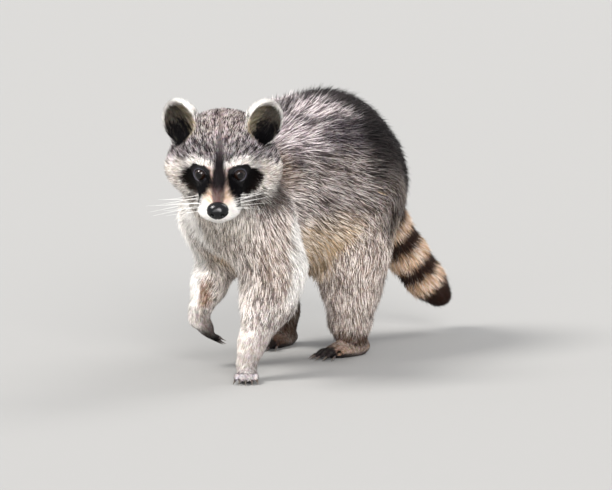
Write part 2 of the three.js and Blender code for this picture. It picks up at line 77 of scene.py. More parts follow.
STAND = np.array((41.62, -0.41, 0.0))  # from the body's own origin to the middle of its box
EYES_AT = np.array((213, 60.5, 239.5)) + STAND  # midway between the eyes
HEAD_YAW, HEAD_PITCH = 27, 21  # turned to its left, nose down
EYE_RADIUS = 8.2
LID = {"thick": 1.3, "half_width": 0.88, "half_height": 0.76}  # the opening, as shares of the eye's radius
MOUTH = {"x": -4, "z": -31, "slope": 0.12, "end": -22}
EAR = {
    "back": 52, "side": 42.5, "up": 33,  # its middle, from between the eyes
    "size": (15, 22, 28.5), "hollow": (15, 18, 24.5), "shift": (9, 0, 3),  # its ball, and the cup in that
}
EAR_TURN = {"lean": 31, "recline": 8, "turn": 20}

# The skull's bones, end to end, and its balls on one side: place in the head's frame, and half sizes.
SKULL_BONES = {
    "muzzle": ((-8, 0, -12, 29, 23), (40, 0, -26, 16.5, 12.5)),
    "bridge": ((-14, 0, 6, 17, 15), (42, 0, -20, 8.5, 8)),
    "jaw": ((-34, 0, -34, 26, 18), (30, 0, -39, 9.5, 6.5)),
}
SKULL_BALLS = {
    "lips": ((25, 11.5, -29), (17, 12.5, 10.5)),
    "cheeks": ((-46, 34, -14), (30, 30, 30)),
    "brows": ((-22, 22, 12), (20, 19, 15)),
}
CRANIUM = ((-50, 0, 8), (50, 50, 38))

# Stations along each limb: centre, half width and half height of the furred body, and depth of the coat.
TRUNK = (
    ((96, 8, 188), 46, 58, 15),
    ((60, 3, 192), 58, 74, 16),
    ((0, -1, 194), 74, 88, 17),
    ((-60, -2, 198), 86, 101, 18),
    ((-120, 0, 198), 90, 105, 18),
    ((-160, 2, 190), 78, 90, 17),
)
NECK = (((108, 14, 200), 48, 54, 15), ((147, 33, 215), 45, 44, 13))
NECK_END = {"back": 62, "drop": 8, "wide": 48, "tall": 42, "depth": 10}  # inside the head
TAIL = (
    ((-186, 2, 196), 34, 34, 15),
    ((-222, 4, 171), 29, 29, 14),
    ((-256, 9, 133), 26, 26, 13.5),
    ((-284, 20, 95), 25, 25, 13.5),
    ((-306, 34, 63), 23, 23, 13),
    ((-320, 44, 45), 17, 17, 10),
)
LEGS = {
    "fore_left": (
        ((110, 46, 176), 46, 46, 14),
        ((90, 55, 122), 38, 38, 13),
        ((97, 53, 88), 32, 32, 11),
        ((122, 47, 42), 14.5, 14.5, 4),
        ((132, 45, 18), 12.5, 12.5, 2.4),
    ),
    "fore_right": (
        ((78, -36, 172), 37, 37, 13),
        ((36, -46, 124), 28, 28, 11),
        ((60, -47, 92), 20, 20, 7),
        ((76, -50, 65), 11, 11, 2.6),
        ((80, -51, 55), 10, 10, 2),
    ),
    "hind_left": (
        ((-112, 48, 178), 56, 56, 16),
        ((-80, 62, 118), 42, 42, 14),
        ((-80, 59, 84), 36, 36, 13),
        ((-90, 52, 40), 25, 25, 9),
        ((-94, 52, 20), 17, 17, 3.5),
    ),
    "hind_right": (
        ((-126, -48, 178), 56, 56, 16),
        ((-96, -60, 116), 40, 40, 14),
        ((-100, -59, 84), 32, 32, 12),
        ((-119, -56, 42), 20, 20, 6),
        ((-122, -55, 20), 15, 15, 3),
    ),
}
PAWS = {
    "fore_left": {"at": (130, 45, 0), "heading": 28, "droop": 0},
    "fore_right": {"at": (72, -46, 60), "heading": -30, "droop": 126},
    "hind_left": {"at": (-94, 53, 0), "heading": -12, "droop": 0},
    "hind_right": {"at": (-122, -56, 0), "heading": 4, "droop": 0},
}
PALMS = {
    "fore": (((7, 0, 7), (19, 12, 9.5)),),
    "hind": (((12, 0, 7.5), (36, 14.5, 10.5)), ((-6, 0, 10), (20, 12, 12))),
}
TOES = {
    "fore": {"lengths": (14, 19, 21, 19, 14), "radius": 3.3, "apart": 4.7, "fan": 6, "root": 15},
    "hind": {"lengths": (15, 20, 22, 20, 15), "radius": 4.0, "apart": 6.0, "fan": 7, "root": 36},
}
TOE_ROOT_Z, TOE_TIP_Z, KNUCKLE_UP, KNUCKLE_AT = 7, 3.6, 3, 0.47
PAW_COAT, EAR_COAT, LID_COAT = 1.0, 0.9, 0.8

# How softly neighbouring forms run into each other.
BLEND = {
    "face": 7, "cranium": 16, "skull": 12, "neck": 24, "leg": 22, "tail": 24, "head": 18,
    "lid": 5, "ear": 6, "ear_rim": 1.2, "paw": 4, "palm": 6, "knuckle": 1, "toe": 2,
}
# The middle of a paw, and how far round it, an ear, a lid and the head their fields are worked out.
PAW_MIDDLE, PAW_REACH, EAR_REACH, LID_REACH, HEAD_REACH = (20, 0, 0), 90, 80, 60, 150
LEAST_SLOPE = 0.2  # the squared slope that a flat spot of a field counts as

# ---------------------------------------------------------------- small helpers


def unit(v):
    v = np.asarray(v, float)
    return v / np.maximum(np.linalg.norm(v, axis=-1, keepdims=True), 1e-9)


def rise(value, low, high):
    """From 0 at low to 1 at high, smoothly. Low may be the larger."""
    t = np.clip((value - low) / (high - low), 0, 1)
    return t * t * (3 - 2 * t)


def mix(a, b, t):
    """From a to b by the share t, of numbers or of colours."""
    if (3,) in (np.shape(a)[-1:], np.shape(b)[-1:]):
        t = np.asarray(t, float)[..., None]
    return a + (b - a) * t


def turn(axis, degrees):
    return np.array(Matrix.Rotation(math.radians(degrees), 3, axis))


def ripple(p, size, seed):
    """A smooth random value from about -1 to 1 at each point, with waves about size across."""
    waves = np.random.default_rng(seed)
    ways = unit(waves.normal(size=(7, 3))) * (2 * math.pi / size) * waves.uniform(0.6, 1.4, (7, 1))
    return np.sin(p @ ways.T + waves.uniform(0, 2 * math.pi, 7)).sum(axis=1) / 3


# ---------------------------------------------------------------- the flesh, a field that is negative inside

HEAD_AXES = turn("Z", HEAD_YAW) @ turn("Y", HEAD_PITCH)  # columns: to the nose, to its left, up


def on_head(x, y, z):
    return EYES_AT + HEAD_AXES @ np.array((x, y, z), float)


def to_head(p):
    return (p - EYES_AT) @ HEAD_AXES


def smooth_union(a, b, blend):
    h = np.maximum(blend - np.abs(a - b), 0) / blend
    return np.minimum(a, b) - h * h * blend / 4


def smooth_cut(a, b, blend):
    """What is in a and not in b."""
    return -smooth_union(-a, b, blend)


def all_of(fields, blend):
    total = fields[0]
    for field in fields[1:]:
        total = smooth_union(total, field, blend)
    return total


def ellipsoid(p, centre, size, axes=np.eye(3)):
    q = (p - centre) @ axes
    size = np.array(size, float)
    k0 = np.linalg.norm(q / size, axis=1)
    k1 = np.linalg.norm(q / size**2, axis=1)
    return k0 * (k0 - 1) / np.maximum(k1, 1e-9)


def bone(p, a, b, sideways):
    """A tapered bone with round ends: its field, and the share of its length that each point is along it."""
    (at_a, wide_a, tall_a), (at_b, wide_b, tall_b) = a[:3], b[:3]
    along = at_b - at_a
    forward = unit(along)
    side = unit(sideways - (sideways @ forward) * forward)
    up = np.cross(forward, side)
    q = p - at_a
    share = np.clip(q @ along / (along @ along), 0, 1)
    q = q - share[:, None] * along
    wide = wide_a + (wide_b - wide_a) * share
    tall = tall_a + (tall_b - tall_a) * share
    least = np.minimum(wide, tall)
    radius = np.sqrt((q @ side / wide) ** 2 + (q @ up / tall) ** 2 + (q @ forward / least) ** 2)
    return (radius - 1) * least, share


SIDEWAYS = np.array((0.0, 1.0, 0.0))
HEAD_SIDE = HEAD_AXES[:, 1]


def placed(stations):
    return [(np.array(at, float) + STAND, wide, tall, depth) for at, wide, tall, depth in stations]


def head_station(x, y, z, wide, tall):
    return (on_head(x, y, z), wide, tall)


neck_end_at = on_head(-NECK_END["back"], 0, -NECK_END["drop"])
neck_end = (neck_end_at, NECK_END["wide"], NECK_END["tall"], NECK_END["depth"])
LIMBS = {  # stations, blend and the way across
    "trunk": (placed(TRUNK), 16, SIDEWAYS),
    "neck": ([*placed(NECK), neck_end], 14, np.array((-0.3, 1, 0))),
    "tail": (placed(TAIL), 14, SIDEWAYS),
    **{name: (placed(joints), 10, SIDEWAYS) for name, joints in LEGS.items()},
}


def limb(p, name):
    """A limb's field, the way along it, and how many stations along it each point lies."""
    stations, blend, sideways = LIMBS[name]
    bones = [bone(p, a, b, sideways) for a, b in zip(stations, stations[1:])]
    fields = np.array([field for field, _ in bones])
    weights = nearest(fields, 6)
    ways = np.array([unit(b[0] - a[0]) for a, b in zip(stations, stations[1:])])
    station = sum(w * (i + share) for i, (w, (_, share)) in enumerate(zip(weights, bones)))
    return all_of(list(fields), blend), weights.T @ ways, station


def nearest(fields, blend):
    """Weights that favour the form whose surface each point is nearest to."""
    weights = np.exp(-(fields - fields.min(axis=0)) / blend)
    return weights / weights.sum(axis=0)


def skull(p):
    face = [bone(p, head_station(*a), head_station(*b), HEAD_SIDE)[0] for a, b in SKULL_BONES.values()]
    lips, cheeks, brows = ([ellipsoid(p, on_head(x, y * side, z), size, HEAD_AXES) for side in (1, -1)]
                           for (x, y, z), size in SKULL_BALLS.values())
    cranium = ellipsoid(p, on_head(*CRANIUM[0]), CRANIUM[1], HEAD_AXES)
    front, back = all_of([*face, *lips], BLEND["face"]), all_of([cranium, *cheeks, *brows], BLEND["cranium"])
    return smooth_union(front, back, BLEND["skull"])


def ear_axes(side):
    lean = turn("Z", side * EAR_TURN["turn"])
    tip = turn("X", -side * EAR_TURN["lean"]) @ turn("Y", -EAR_TURN["recline"])
    return HEAD_AXES @ lean @ tip  # columns: out of the cup, across, up the ear


def ear_middle(side):
    return on_head(-EAR["back"], side * EAR["side"], EAR["up"])


def ear_fields(p, side):
    """The whole ear as one ball, and the hollow of its cup."""
    axes, middle = ear_axes(side), ear_middle(side)
    hollow_at = middle + axes @ np.array(EAR["shift"], float)
    return ellipsoid(p, middle, EAR["size"], axes), ellipsoid(p, hollow_at, EAR["hollow"], axes)


def paw_axes(name):
    return turn("Z", PAWS[name]["heading"]) @ turn("Y", PAWS[name]["droop"])


def in_paw(name, point):
    return np.array(PAWS[name]["at"], float) + STAND + paw_axes(name) @ np.array(point, float)


def toe_points(name, i):
    """A toe's root, knuckle and tip."""
    toes = TOES[name.split("_")[0]]
    angle = math.radians(toes["fan"] * (i - 2))
    heading = np.array((math.cos(angle), math.sin(angle), 0))
    root = np.array((toes["root"] * math.cos(angle), toes["apart"] * (i - 2), TOE_ROOT_Z))
    tip = root + heading * toes["lengths"][i]
    tip[2] = TOE_TIP_Z
    knuckle = root + (tip - root) * KNUCKLE_AT + np.array((0, 0, KNUCKLE_UP))
    return [in_paw(name, point) for point in (root, knuckle, tip)]


def paw(p, name):
    kind = name.split("_")[0]
    axes = paw_axes(name)
    flat = axes[:, 1]
    palm = all_of([ellipsoid(p, in_paw(name, at), size, axes) for at, size in PALMS[kind]], BLEND["palm"])
    r = TOES[kind]["radius"]
    toes = FAR
    for i in range(5):
        root, knuckle, tip = toe_points(name, i)
        upper = bone(p, (root, r, r * 0.95), (knuckle, r, r), flat)[0]
        lower = bone(p, (knuckle, r, r), (tip - unit(tip - knuckle) * r * 0.5, r * 0.8, r * 0.75), flat)[0]
        toes = np.minimum(toes, smooth_union(upper, lower, BLEND["knuckle"]))
    return smooth_union(palm, toes, BLEND["toe"])


def near(p, centre, reach, field):
    """A field worked out only for the points within reach of centre."""
    values = np.full(len(p), FAR)
    close = ((p - centre) ** 2).sum(axis=1) < reach**2
    if close.any():
        values[close] = field(p[close])
    return values


def limb_field(p, name):
    stations, blend, sideways = LIMBS[name]
    middle = np.mean([at for at, *_ in stations], axis=0)
    reach = max(np.linalg.norm(at - middle) + wide for at, wide, *_ in stations) + 60

    def field(q):
        return all_of([bone(q, a, b, sideways)[0] for a, b in zip(stations, stations[1:])], blend)

    return near(p, middle, reach, field)


def near_paw(p, name):
    return near(p, in_paw(name, PAW_MIDDLE), PAW_REACH, lambda q: paw(q, name))


def near_lids(p, centre):
    """The ball of an eye's lids, to the tips of their hair."""
    radius = EYE_RADIUS + LID["thick"] + LID_COAT
    return near(p, centre, LID_REACH, lambda q: np.linalg.norm(q - centre, axis=1) - radius)


def body(p):
    """The furred body without ears and paws."""
    total = smooth_union(limb_field(p, "trunk"), limb_field(p, "neck"), BLEND["neck"])
    for name in LEGS:
        total = smooth_union(total, limb_field(p, name), BLEND["leg"])
    total = smooth_union(total, limb_field(p, "tail"), BLEND["tail"])
    return smooth_union(total, near(p, on_head(-30, 0, 0), HEAD_REACH, skull), BLEND["head"])


def outline(p, inset=0.0, ear_inset=0.0, paw_inset=0.0, lid_inset=0.0):
    """The whole animal to the tips of its coat, or inside that by the insets."""
    total = body(p) + inset
    for centre in EYE_CENTRES:
        total = smooth_union(total, near_lids(p, centre) + lid_inset, BLEND["lid"])
    for name in PAWS:
        total = smooth_union(total, near_paw(p, name) + paw_inset, BLEND["paw"])
    for side in (1, -1):
        close = ((p - ear_middle(side)) ** 2).sum(axis=1) < EAR_REACH**2
        if close.any():
            ball, hollow = ear_fields(p[close], side)
            whole = smooth_union(total[close], ball + ear_inset, BLEND["ear"])
            total[close] = smooth_cut(whole, hollow - ear_inset, BLEND["ear_rim"])
    return total


def slope(field, p, step=0.3):
    """The field and its gradient at each point."""
    here = field(p)
    ways = np.eye(3) * step
    return here, np.stack([(field(p + way) - here) / step for way in ways], axis=1)


def drawn_onto(field, p, turns, level=0.0, reach=6.0):
    """The points moved along the slope until the field there is level, by at most reach at each turn."""
    for _ in range(turns):
        value, grad = slope(field, p)
        move = (level - value) / np.maximum((grad**2).sum(axis=1), LEAST_SLOPE)
        step = grad * move[:, None]
        length = np.linalg.norm(step, axis=1, keepdims=True)
        p = p + step * np.minimum(1, reach / np.maximum(length, 1e-9))
    return p


# ---------------------------------------------------------------- the coat: where it lies and how long it is

NOSE_ROOT = on_head(50, 0, -18)

# For each limb, at its stations: length and width of a tuft, and tufts on each square millimetre.
LIMB_TUFTS = {
    "trunk": ((29, 31, 33, 34, 34, 32), (1, 1, 1, 1.05, 1.05, 1), (0.34, 0.31, 0.29, 0.28, 0.28, 0.31)),
    "neck": ((30, 27, 24), (1, 0.95, 0.9), (0.47, 0.55, 0.66)),
    "tail": ((32, 27, 25, 24, 23, 20), (1, 1, 1, 1, 1, 1), (0.7, 0.7, 0.7, 0.7, 0.7, 0.7)),
    "fore_left": ((28, 26, 22, 11, 7), (1, 0.95, 0.9, 0.65, 0.6), (0.4, 0.46, 0.66, 1.3, 1.7)),
    "fore_right": ((27, 24, 17, 8, 6), (1, 0.9, 0.75, 0.6, 0.55), (0.42, 0.55, 0.95, 1.7, 1.9)),
    "hind_left": ((32, 29, 26, 18, 9), (1.05, 1, 0.95, 0.85, 0.6), (0.31, 0.38, 0.5, 0.8, 1.5)),
    "hind_right": ((32, 29, 25, 15, 8), (1.05, 1, 0.95, 0.8, 0.6), (0.3, 0.33, 0.42, 0.85, 1.5)),
}
# Depth of the coat, and length, width and count of its tufts, on an ear and on a paw.
EAR_TUFTS = (EAR_COAT, 8.0, 0.5, 2.2)
PAW_TUFTS = (PAW_COAT, 3.8, 0.5, 2.6)
TOE_LIE = (1, 0, -0.15)  # the lie of a paw's hair, in the paw's frame
HANG = {"trunk": -0.6, "neck": -0.75}  # how much the coat there hangs down as it streams back
EYE_PARTING = {"strength": 1.6, "from": 22, "full": 9}  # how the hair streams away from an eye


def head_coat(p):
    """Depth, length, width and count of the tufts on the head: deepest on cheeks, throat and nape."""
    h = to_head(p)
    side = np.abs(h[:, 1])
    depth = 1.3 + 3.2 * rise(h[:, 0], 12, -30) * rise(h[:, 2], -6, 30)
    depth += 7.5 * rise(h[:, 0], 0, -46) * rise(side, 22, 48) * rise(h[:, 2], 34, 6)
    depth += 5 * rise(h[:, 0], 20, -30) * rise(h[:, 2], -28, -48)
    depth += 4.0 * rise(h[:, 0], -50, -90)
    eye = np.min([np.linalg.norm(p - centre, axis=1) for centre in EYE_CENTRES], axis=0)
    depth = 1.1 + (depth - 1.1) * rise(eye, 12, 26)
    length = 3.2 + 2.15 * depth
    return depth, length, 0.42 + 0.022 * length, 2.1 - 0.05 * length


def limb_coat(p, name):
    """A limb's field, the lie of its coat, and the depth, length, width and count of its tufts."""
    field, way, station = limb(p, name)
    stations = LIMBS[name][0]
    depths = [depth for *_, depth in stations]
    values = [np.interp(station, range(len(stations)), at) for at in (depths, *LIMB_TUFTS[name])]
    lie = -way if name == "neck" else way
    if name in HANG:
        lie = unit(lie + np.array((0, 0, HANG[name])))
    return field, lie, values


def ear_coat(p):
    balls = [ear_fields(p, side) for side in (1, -1)]
    field = np.minimum(*[smooth_cut(ball, hollow, BLEND["ear_rim"]) for ball, hollow in balls])
    left = balls[0][0] < balls[1][0]
    return field, np.where(left[:, None], ear_axes(1)[:, 2], ear_axes(-1)[:, 2]), EAR_TUFTS


def paw_coat(p):
    paws = np.array([near_paw(p, name) for name in PAWS])
    lies = np.array([unit(paw_axes(name) @ np.array(TOE_LIE)) for name in PAWS])
    return paws.min(axis=0), lies[paws.argmin(axis=0)], PAW_TUFTS


def survey(p):
    """At each point: the shares of the forms, the coat's lie and depth, and its tufts' size and count."""
    forms = {name: limb_coat(p, name) for name in LIMBS}
    forms.update(head=(skull(p), head_lie(p), head_coat(p)), ear=ear_coat(p), paw=paw_coat(p))
    fields, ways, values = zip(*forms.values())
    weights = nearest(np.array(fields), 5)
    mixed = [sum(w * v[i] for w, v in zip(weights, values)) for i in range(4)]
    lie = unit(sum(w[:, None] * way for w, way in zip(weights, ways)))
    shares = dict(zip(forms, weights))
    return {"shares": shares, "lie": lie, **dict(zip(("depth", "length", "width", "count"), mixed))}


def head_lie(p):
    """Hair streams from the nose over the face, and round the eyes."""
    lie = unit(p - NOSE_ROOT)
    for centre in EYE_CENTRES:
        away = p - centre
        distance = np.linalg.norm(away, axis=1)
        strength = EYE_PARTING["strength"] * rise(distance, EYE_PARTING["from"], EYE_PARTING["full"])
        lie = lie + unit(away) * strength[:, None]
    return unit(lie)


# ---------------------------------------------------------------- markings, the same on skin and coat


def tone(red, green, blue):
    """A colour as the eye sees it, 0 to 255, in the linear numbers that a shader reads."""
    c = np.array((red, green, blue)) / 255
    return np.where(c < 0.04045, c / 12.92, ((c + 0.055) / 1.055) ** 2.4)


# Body and neck
WHITE = tone(240, 236, 231)
BACK = tone(72, 62, 68)
PALE_CREST_AND_HIGHLIGHT = tone(165, 151, 153)
SOOT = tone(20, 15, 17)
RUMP = tone(23, 16, 16)
FLANK = tone(140, 126, 121)
LOW_FLANK = tone(170, 151, 139)
SHOULDER = tone(204, 189, 182)
NECK_OCHRE = tone(134, 108, 88)
PAINTED_NECK_SHADE = tone(80, 63, 56)
BELLY = tone(236, 205, 168)
BREAST = tone(226, 213, 200)
BREAST_STREAK = tone(128, 112, 100)
# Legs
LOW_LEG = tone(190, 172, 161)
HIGH_LEG = tone(184, 165, 153)
WRIST = tone(174, 163, 157)
ARM_STREAK = tone(112, 92, 80)
ARM_PAINTED_HIGHLIGHT = tone(230, 218, 209)
ARM_INSIDE = tone(214, 202, 193)
ELBOW = tone(136, 100, 72)
ANKLE = tone(88, 66, 52)
FAR_SHANK_AND_SHADE = tone(72, 52, 38)
# Head and ears
BLACK = tone(5, 4, 6)
FOREHEAD = tone(114, 103, 106)
CROWN = tone(124, 108, 105)
NAPE = tone(96, 80, 74)
CHEEK = tone(198, 187, 178)
BROW = tone(214, 208, 202)
CHIN = tone(238, 230, 222)
PEACH = tone(232, 198, 170)
EYE_CORNER = tone(142, 110, 97)
PAINTED_LID_SHEEN = tone(88, 86, 96)
STRIPE_BROWN = tone(108, 84, 80)
EAR_BACK = tone(84, 72, 70)
EAR_HAIR = tone(84, 76, 66)
OLIVE = tone(146, 132, 106)
# Tail and soles
TAIL_TAN = (tone(192, 154, 122), tone(226, 191, 158))
RING_BROWN = tone(44, 25, 17)
SOLE = tone(26, 22, 24)

# The mask's outline on the right half of the face: distance to the side and height above the eyes.
MASK = np.array((
    (11, 2), (11, 6.5), (16.5, 9.6), (26, 10), (33.5, 4.5), (41, -4), (45, -10), (46, -16), (42.5, -22),
    (38.5, -26), (33.5, -29.5), (28.5, -31), (25, -27), (22, -18), (18.5, -12.5), (14.8, -7.5), (12, -2),
), float)
# The upper edge of the brow bands: distances to the side, and the height at each.
BROW_TOP = ((9, 13.5, 22, 32.5, 43.5, 53.5, 60), (15.5, 18.5, 19.5, 18.5, 12.5, 3, -7))
# The stripe from the nose to the forehead: heights, and half its width at each.
STRIPE = ((-16, -6, 2, 8, 15, 24, 40), (8.5, 8.6, 8.2, 6.6, 5.2, 3.8, 2))


def inside(outline_points, x, y):
    """How far each point lies inside a closed outline, negative outside."""
    best = np.full(len(x), FAR)
    crossings = np.zeros(len(x), bool)
    for (ax, ay), (bx, by) in zip(outline_points, np.roll(outline_points, -1, axis=0)):
        across, up = bx - ax, by - ay
        share = np.clip(((x - ax) * across + (y - ay) * up) / (across**2 + up**2), 0, 1)
        best = np.minimum(best, np.hypot(x - ax - share * across, y - ay - share * up))
        over = (ay > y) != (by > y)
        crossings ^= over & (x < ax + (y - ay) * across / np.where(up == 0, 1e-9, up))
    return np.where(crossings, best, -best)


def head_markings(p):
    """Colour and strength of the grizzle on the head, from the place in the head's frame."""
    h = to_head(p)
    x, side, up = h[:, 0], np.abs(h[:, 1]), h[:, 2]
    wobble = ripple(p, 11, 3)
    colour = mix(FOREHEAD, CROWN, rise(up, 28, 44))
    colour = mix(colour, NAPE, rise(x, -66, -84))
    grizzle = np.full(len(p), 2.0)
    cheek = rise(np.interp(side, *BROW_TOP) - up + 1.5 * wobble, -4, 5) * rise(x, -76, -60)
    chin = rise(up, -24, -32) * rise(x, 4, -12)
    muzzle = rise(x, -24, -10) * rise(up, -9, -15)
    bright = mix(CHEEK, BROW, rise(side, 54, 38) * rise(up, -14, 2))
    for tint, share, flecks in ((bright, cheek, 0.35), (CHIN, chin, 0.5), (WHITE, muzzle, 0.05)):
        colour, grizzle = mix(colour, tint, share), mix(grizzle, flecks, share)
    peach = rise(up, -19, -12) * rise(up, 5, -3) * rise(side, 23, 16) * rise(x, 6, 15)
    colour = mix(colour, PEACH, 0.9 * peach)
    corner = rise(side, 18, 14) * rise(up, 14, 7) * rise(up, -9, -2)
    colour = mix(colour, EYE_CORNER, 0.85 * corner)
    mask = rise(inside(MASK, side, up) + 0.7 * wobble, -3, -0.6) * rise(x, -52, -42)
    colour, grizzle = mix(colour, BLACK, mask), mix(grizzle, 0.02, mask)
    eye = np.min([np.linalg.norm(p - centre, axis=1) for centre in EYE_CENTRES], axis=0)
    # A painted reflection: a thin pale ring on the wet rim of the lids.
    painted_lid_sheen = rise(np.abs(eye - EYE_RADIUS - 0.7), 0.8, 0.3) * rise(x, -30, -14)
    colour = mix(colour, PAINTED_LID_SHEEN, 0.75 * painted_lid_sheen)
    half = np.interp(up, *STRIPE) + 0.6 * wobble
    stripe = rise(side, half + 2.4, half - 1.6) * rise(up, -17, -14)
    dark = mix(STRIPE_BROWN, SOOT, rise(up, -9, 0))
    colour = mix(colour, dark, stripe * mix(1.0, 0.45, rise(up, 16, 32)) * rise(x, -44, -20))
    return colour, mix(grizzle, 0.25, stripe)


def ear_markings(p):
    """White rim, dark back, and a cup painted black as shade in its hollow, with olive hair in it. Also how
    far each point is in a cup.
    """
    found = []
    for side in (1, -1):
        q = (p - ear_middle(side)) @ ear_axes(side)
        x, across, up = q[:, 0], q[:, 1] * side, q[:, 2]
        speckle = ripple(p, 5, 31)
        edge = np.hypot(across / EAR["size"][1], up / EAR["size"][2]) + 0.03 * speckle
        cup = rise(edge, 1.0, 0.86) * rise(ear_fields(p, side)[1], 3.6, 1.6) * rise(x, -14, -8)
        # Painted shade: the hollow of the cup is painted black, lighter with hair towards its top.
        inner = mix(BLACK, EAR_HAIR, rise(up + 7 * speckle, 2, 18) * 0.8)
        inner = mix(inner, OLIVE, rise(across + 4 * speckle, 1, -12) * rise(up, -22, -6))
        rim = rise(edge, 0.78, 0.9) * rise(x, -9, -3) * rise(up, -26, -12)
        rim = rim * (1 - 0.6 * rise(across, -6, -14) * rise(up, 8, -4))
        found.append((mix(mix(EAR_BACK, WHITE, rim), inner, cup), cup))
    left = np.linalg.norm(p - ear_middle(1), axis=1) < np.linalg.norm(p - ear_middle(-1), axis=1)
    return np.where(left[:, None], found[0][0], found[1][0]), np.where(left, found[0][1], found[1][1])


def streaks_in(p, seed):
    """1 along streaks that run down, 0 between them."""
    return rise(ripple(p * (1, 1, 0.25), 9, seed), 0, 1.2)


def body_markings(p, normal):
    """Dark grizzled back, pale crest with a painted highlight on the top of the back, black rump, paler flank
    and shoulder, painted shade on the neck's sides, tan belly, streaked breast with a painted highlight on
    its right side.

    The limits are places: x ahead, y to its left, z up. The mottle keeps the edges of the patches uneven.
    """
    x, y, z = p.T
    wide = np.abs(y)
    mottle = ripple(p, 30, 5) + 0.7 * ripple(p, 13, 6)
    colour = mix(FLANK, BACK, rise(z + 9 * mottle, 222, 258))
    colour = mix(colour, LOW_FLANK, rise(z + 7 * mottle, 178, 140))
    # Pale hair tips along the top of the back and ahead, with a painted highlight there where the light falls
    # from above.
    crest = np.maximum(rise(z + 6 * mottle, 268, 284) * rise(x, -92, -60), rise(x + 7 * mottle, 4, 36))
    colour = mix(colour, PALE_CREST_AND_HIGHLIGHT, crest * rise(z, 232, 254))
    colour = mix(colour, SOOT, 0.7 * rise(wide + 3 * mottle, 19, 5) * rise(z, 262, 286))
    colour = mix(colour, RUMP, 0.96 * (rise(x + 7 * mottle, -18, -66) * rise(z + 5 * mottle, 108, 146)))
    colour = mix(colour, SHOULDER, rise(x, 44, 88) * rise(z + 6 * mottle, 222, 190))
    colour = mix(colour, NECK_OCHRE, rise(x, 66, 104) * rise(z, 196, 218) * rise(z, 268, 240) * 0.8)
    # Painted shade on the sides of the neck, below the head.
    painted_neck_shade = rise(x + 4 * mottle, 112, 138) * rise(z, 180, 200) * rise(wide, 40, 62)
    colour = mix(colour, PAINTED_NECK_SHADE, painted_neck_shade)
    under = rise(normal[:, 2], 0.0, -0.5) * rise(x, 150, 120)
    colour = mix(colour, BELLY, under)
    breast = rise(x + 5 * mottle, 128, 160) * rise(z, 228, 196) * rise(wide, 76, 58)
    colour = mix(colour, BREAST, breast)
    colour = mix(colour, BREAST_STREAK, 0.55 * (streaks_in(p, 14) * breast))
    # A painted highlight: the breast's right side, towards the key light, is painted white with little
    # grizzle.
    colour = mix(colour, WHITE, breast * rise(y + 6 * mottle, 6, -18))
    grizzle = mix(mix(1.05, 0.8, breast), 0.65, under)
    return colour, mix(grizzle, 0.2, breast * rise(y, 6, -18))


def leg_markings(p, normal, shares, body_colour):
    """Pale grizzled legs with brown ankles, that take the body's colours towards their tops. The far hind leg
    is its own dark brown, darkened more by painted shade.
    """
    z = p[:, 2]
    mottle = ripple(p, 22, 15)
    fore = shares["fore_left"] + shares["fore_right"]
    hind = shares["hind_left"] + shares["hind_right"]
    colour = mix(LOW_LEG, HIGH_LEG, rise(z, 60, 130))
    colour = mix(colour, WRIST, fore * rise(z + 5 * mottle, 112, 66))
    colour, back = left_arm_markings(colour, p, normal, shares["fore_left"], mottle)
    colour, outside = right_arm_markings(colour, p, normal, shares["fore_right"], mottle)
    grizzle = mix(np.full(len(p), 0.85), 0.3, np.maximum(np.maximum(back, outside), fore * rise(z, 70, 40)))
    colour = mix(colour, ANKLE, hind * rise(z + 3 * mottle, 34, 20))
    # The far hind leg: its own dark brown, darkened more by painted shade.
    colour = mix(colour, FAR_SHANK_AND_SHADE, shares["hind_right"] * rise(z, 92, 56) * 0.9)
    as_body = np.clip(hind * rise(z, 112, 150) + fore * rise(z, 168, 194), 0, 1)
    return mix(colour, body_colour, as_body), mix(grizzle, 1.05, as_body)


def left_arm_markings(colour, p, normal, share, mottle):
    """Brown streaks, a painted highlight where it faces ahead and to its right, towards the key light, and a
    white back. Also how far each point is on the white back.
    """
    x, y, z = p.T
    colour = mix(colour, ARM_STREAK, 0.6 * (streaks_in(p, 16) * share * rise(z, 56, 100)))
    # Painted highlight: paler where the surface faces ahead and to its right, towards the key light.
    front = share * rise(0.5 * normal[:, 0] - 0.87 * normal[:, 1] + 0.2 * mottle, 0.2, 0.8)
    colour = mix(colour, ARM_PAINTED_HIGHLIGHT, 0.75 * front)
    back = share * rise(x + 4 * mottle, 156, 140) * rise(y, 70, 84) * rise(z, 70, 90)
    return mix(colour, WHITE, back), back


def right_arm_markings(colour, p, normal, share, mottle):
    """A painted highlight, white, on the outside towards the key light, and paler inside, with a brown elbow.
    Also how far each point is on that painted highlight.
    """
    y, z = p[:, 1], p[:, 2]
    # Painted highlight: the outside of the arm, towards the key light, is painted white.
    outside = share * rise(y + 3 * mottle, -40, -50)
    colour = mix(colour, ARM_INSIDE, share * rise(z, 60, 76))
    colour = mix(colour, WHITE, outside * mix(0.6, 1, rise(z, 70, 96)))
    elbow = share * rise(np.abs(z - 84), 22, 8) * rise(normal[:, 0], 0.3, 0.7) * rise(y, -49, -45)
    return mix(colour, ELBOW, 0.9 * elbow), outside


# The tail's pale bands, from and to as shares of its path, and half of the soft edge of each.
TAIL_BANDS = ((0.18, 0.25), (0.395, 0.452), (0.573, 0.645), (0.768, 0.838))
TAIL_EDGE = 0.018


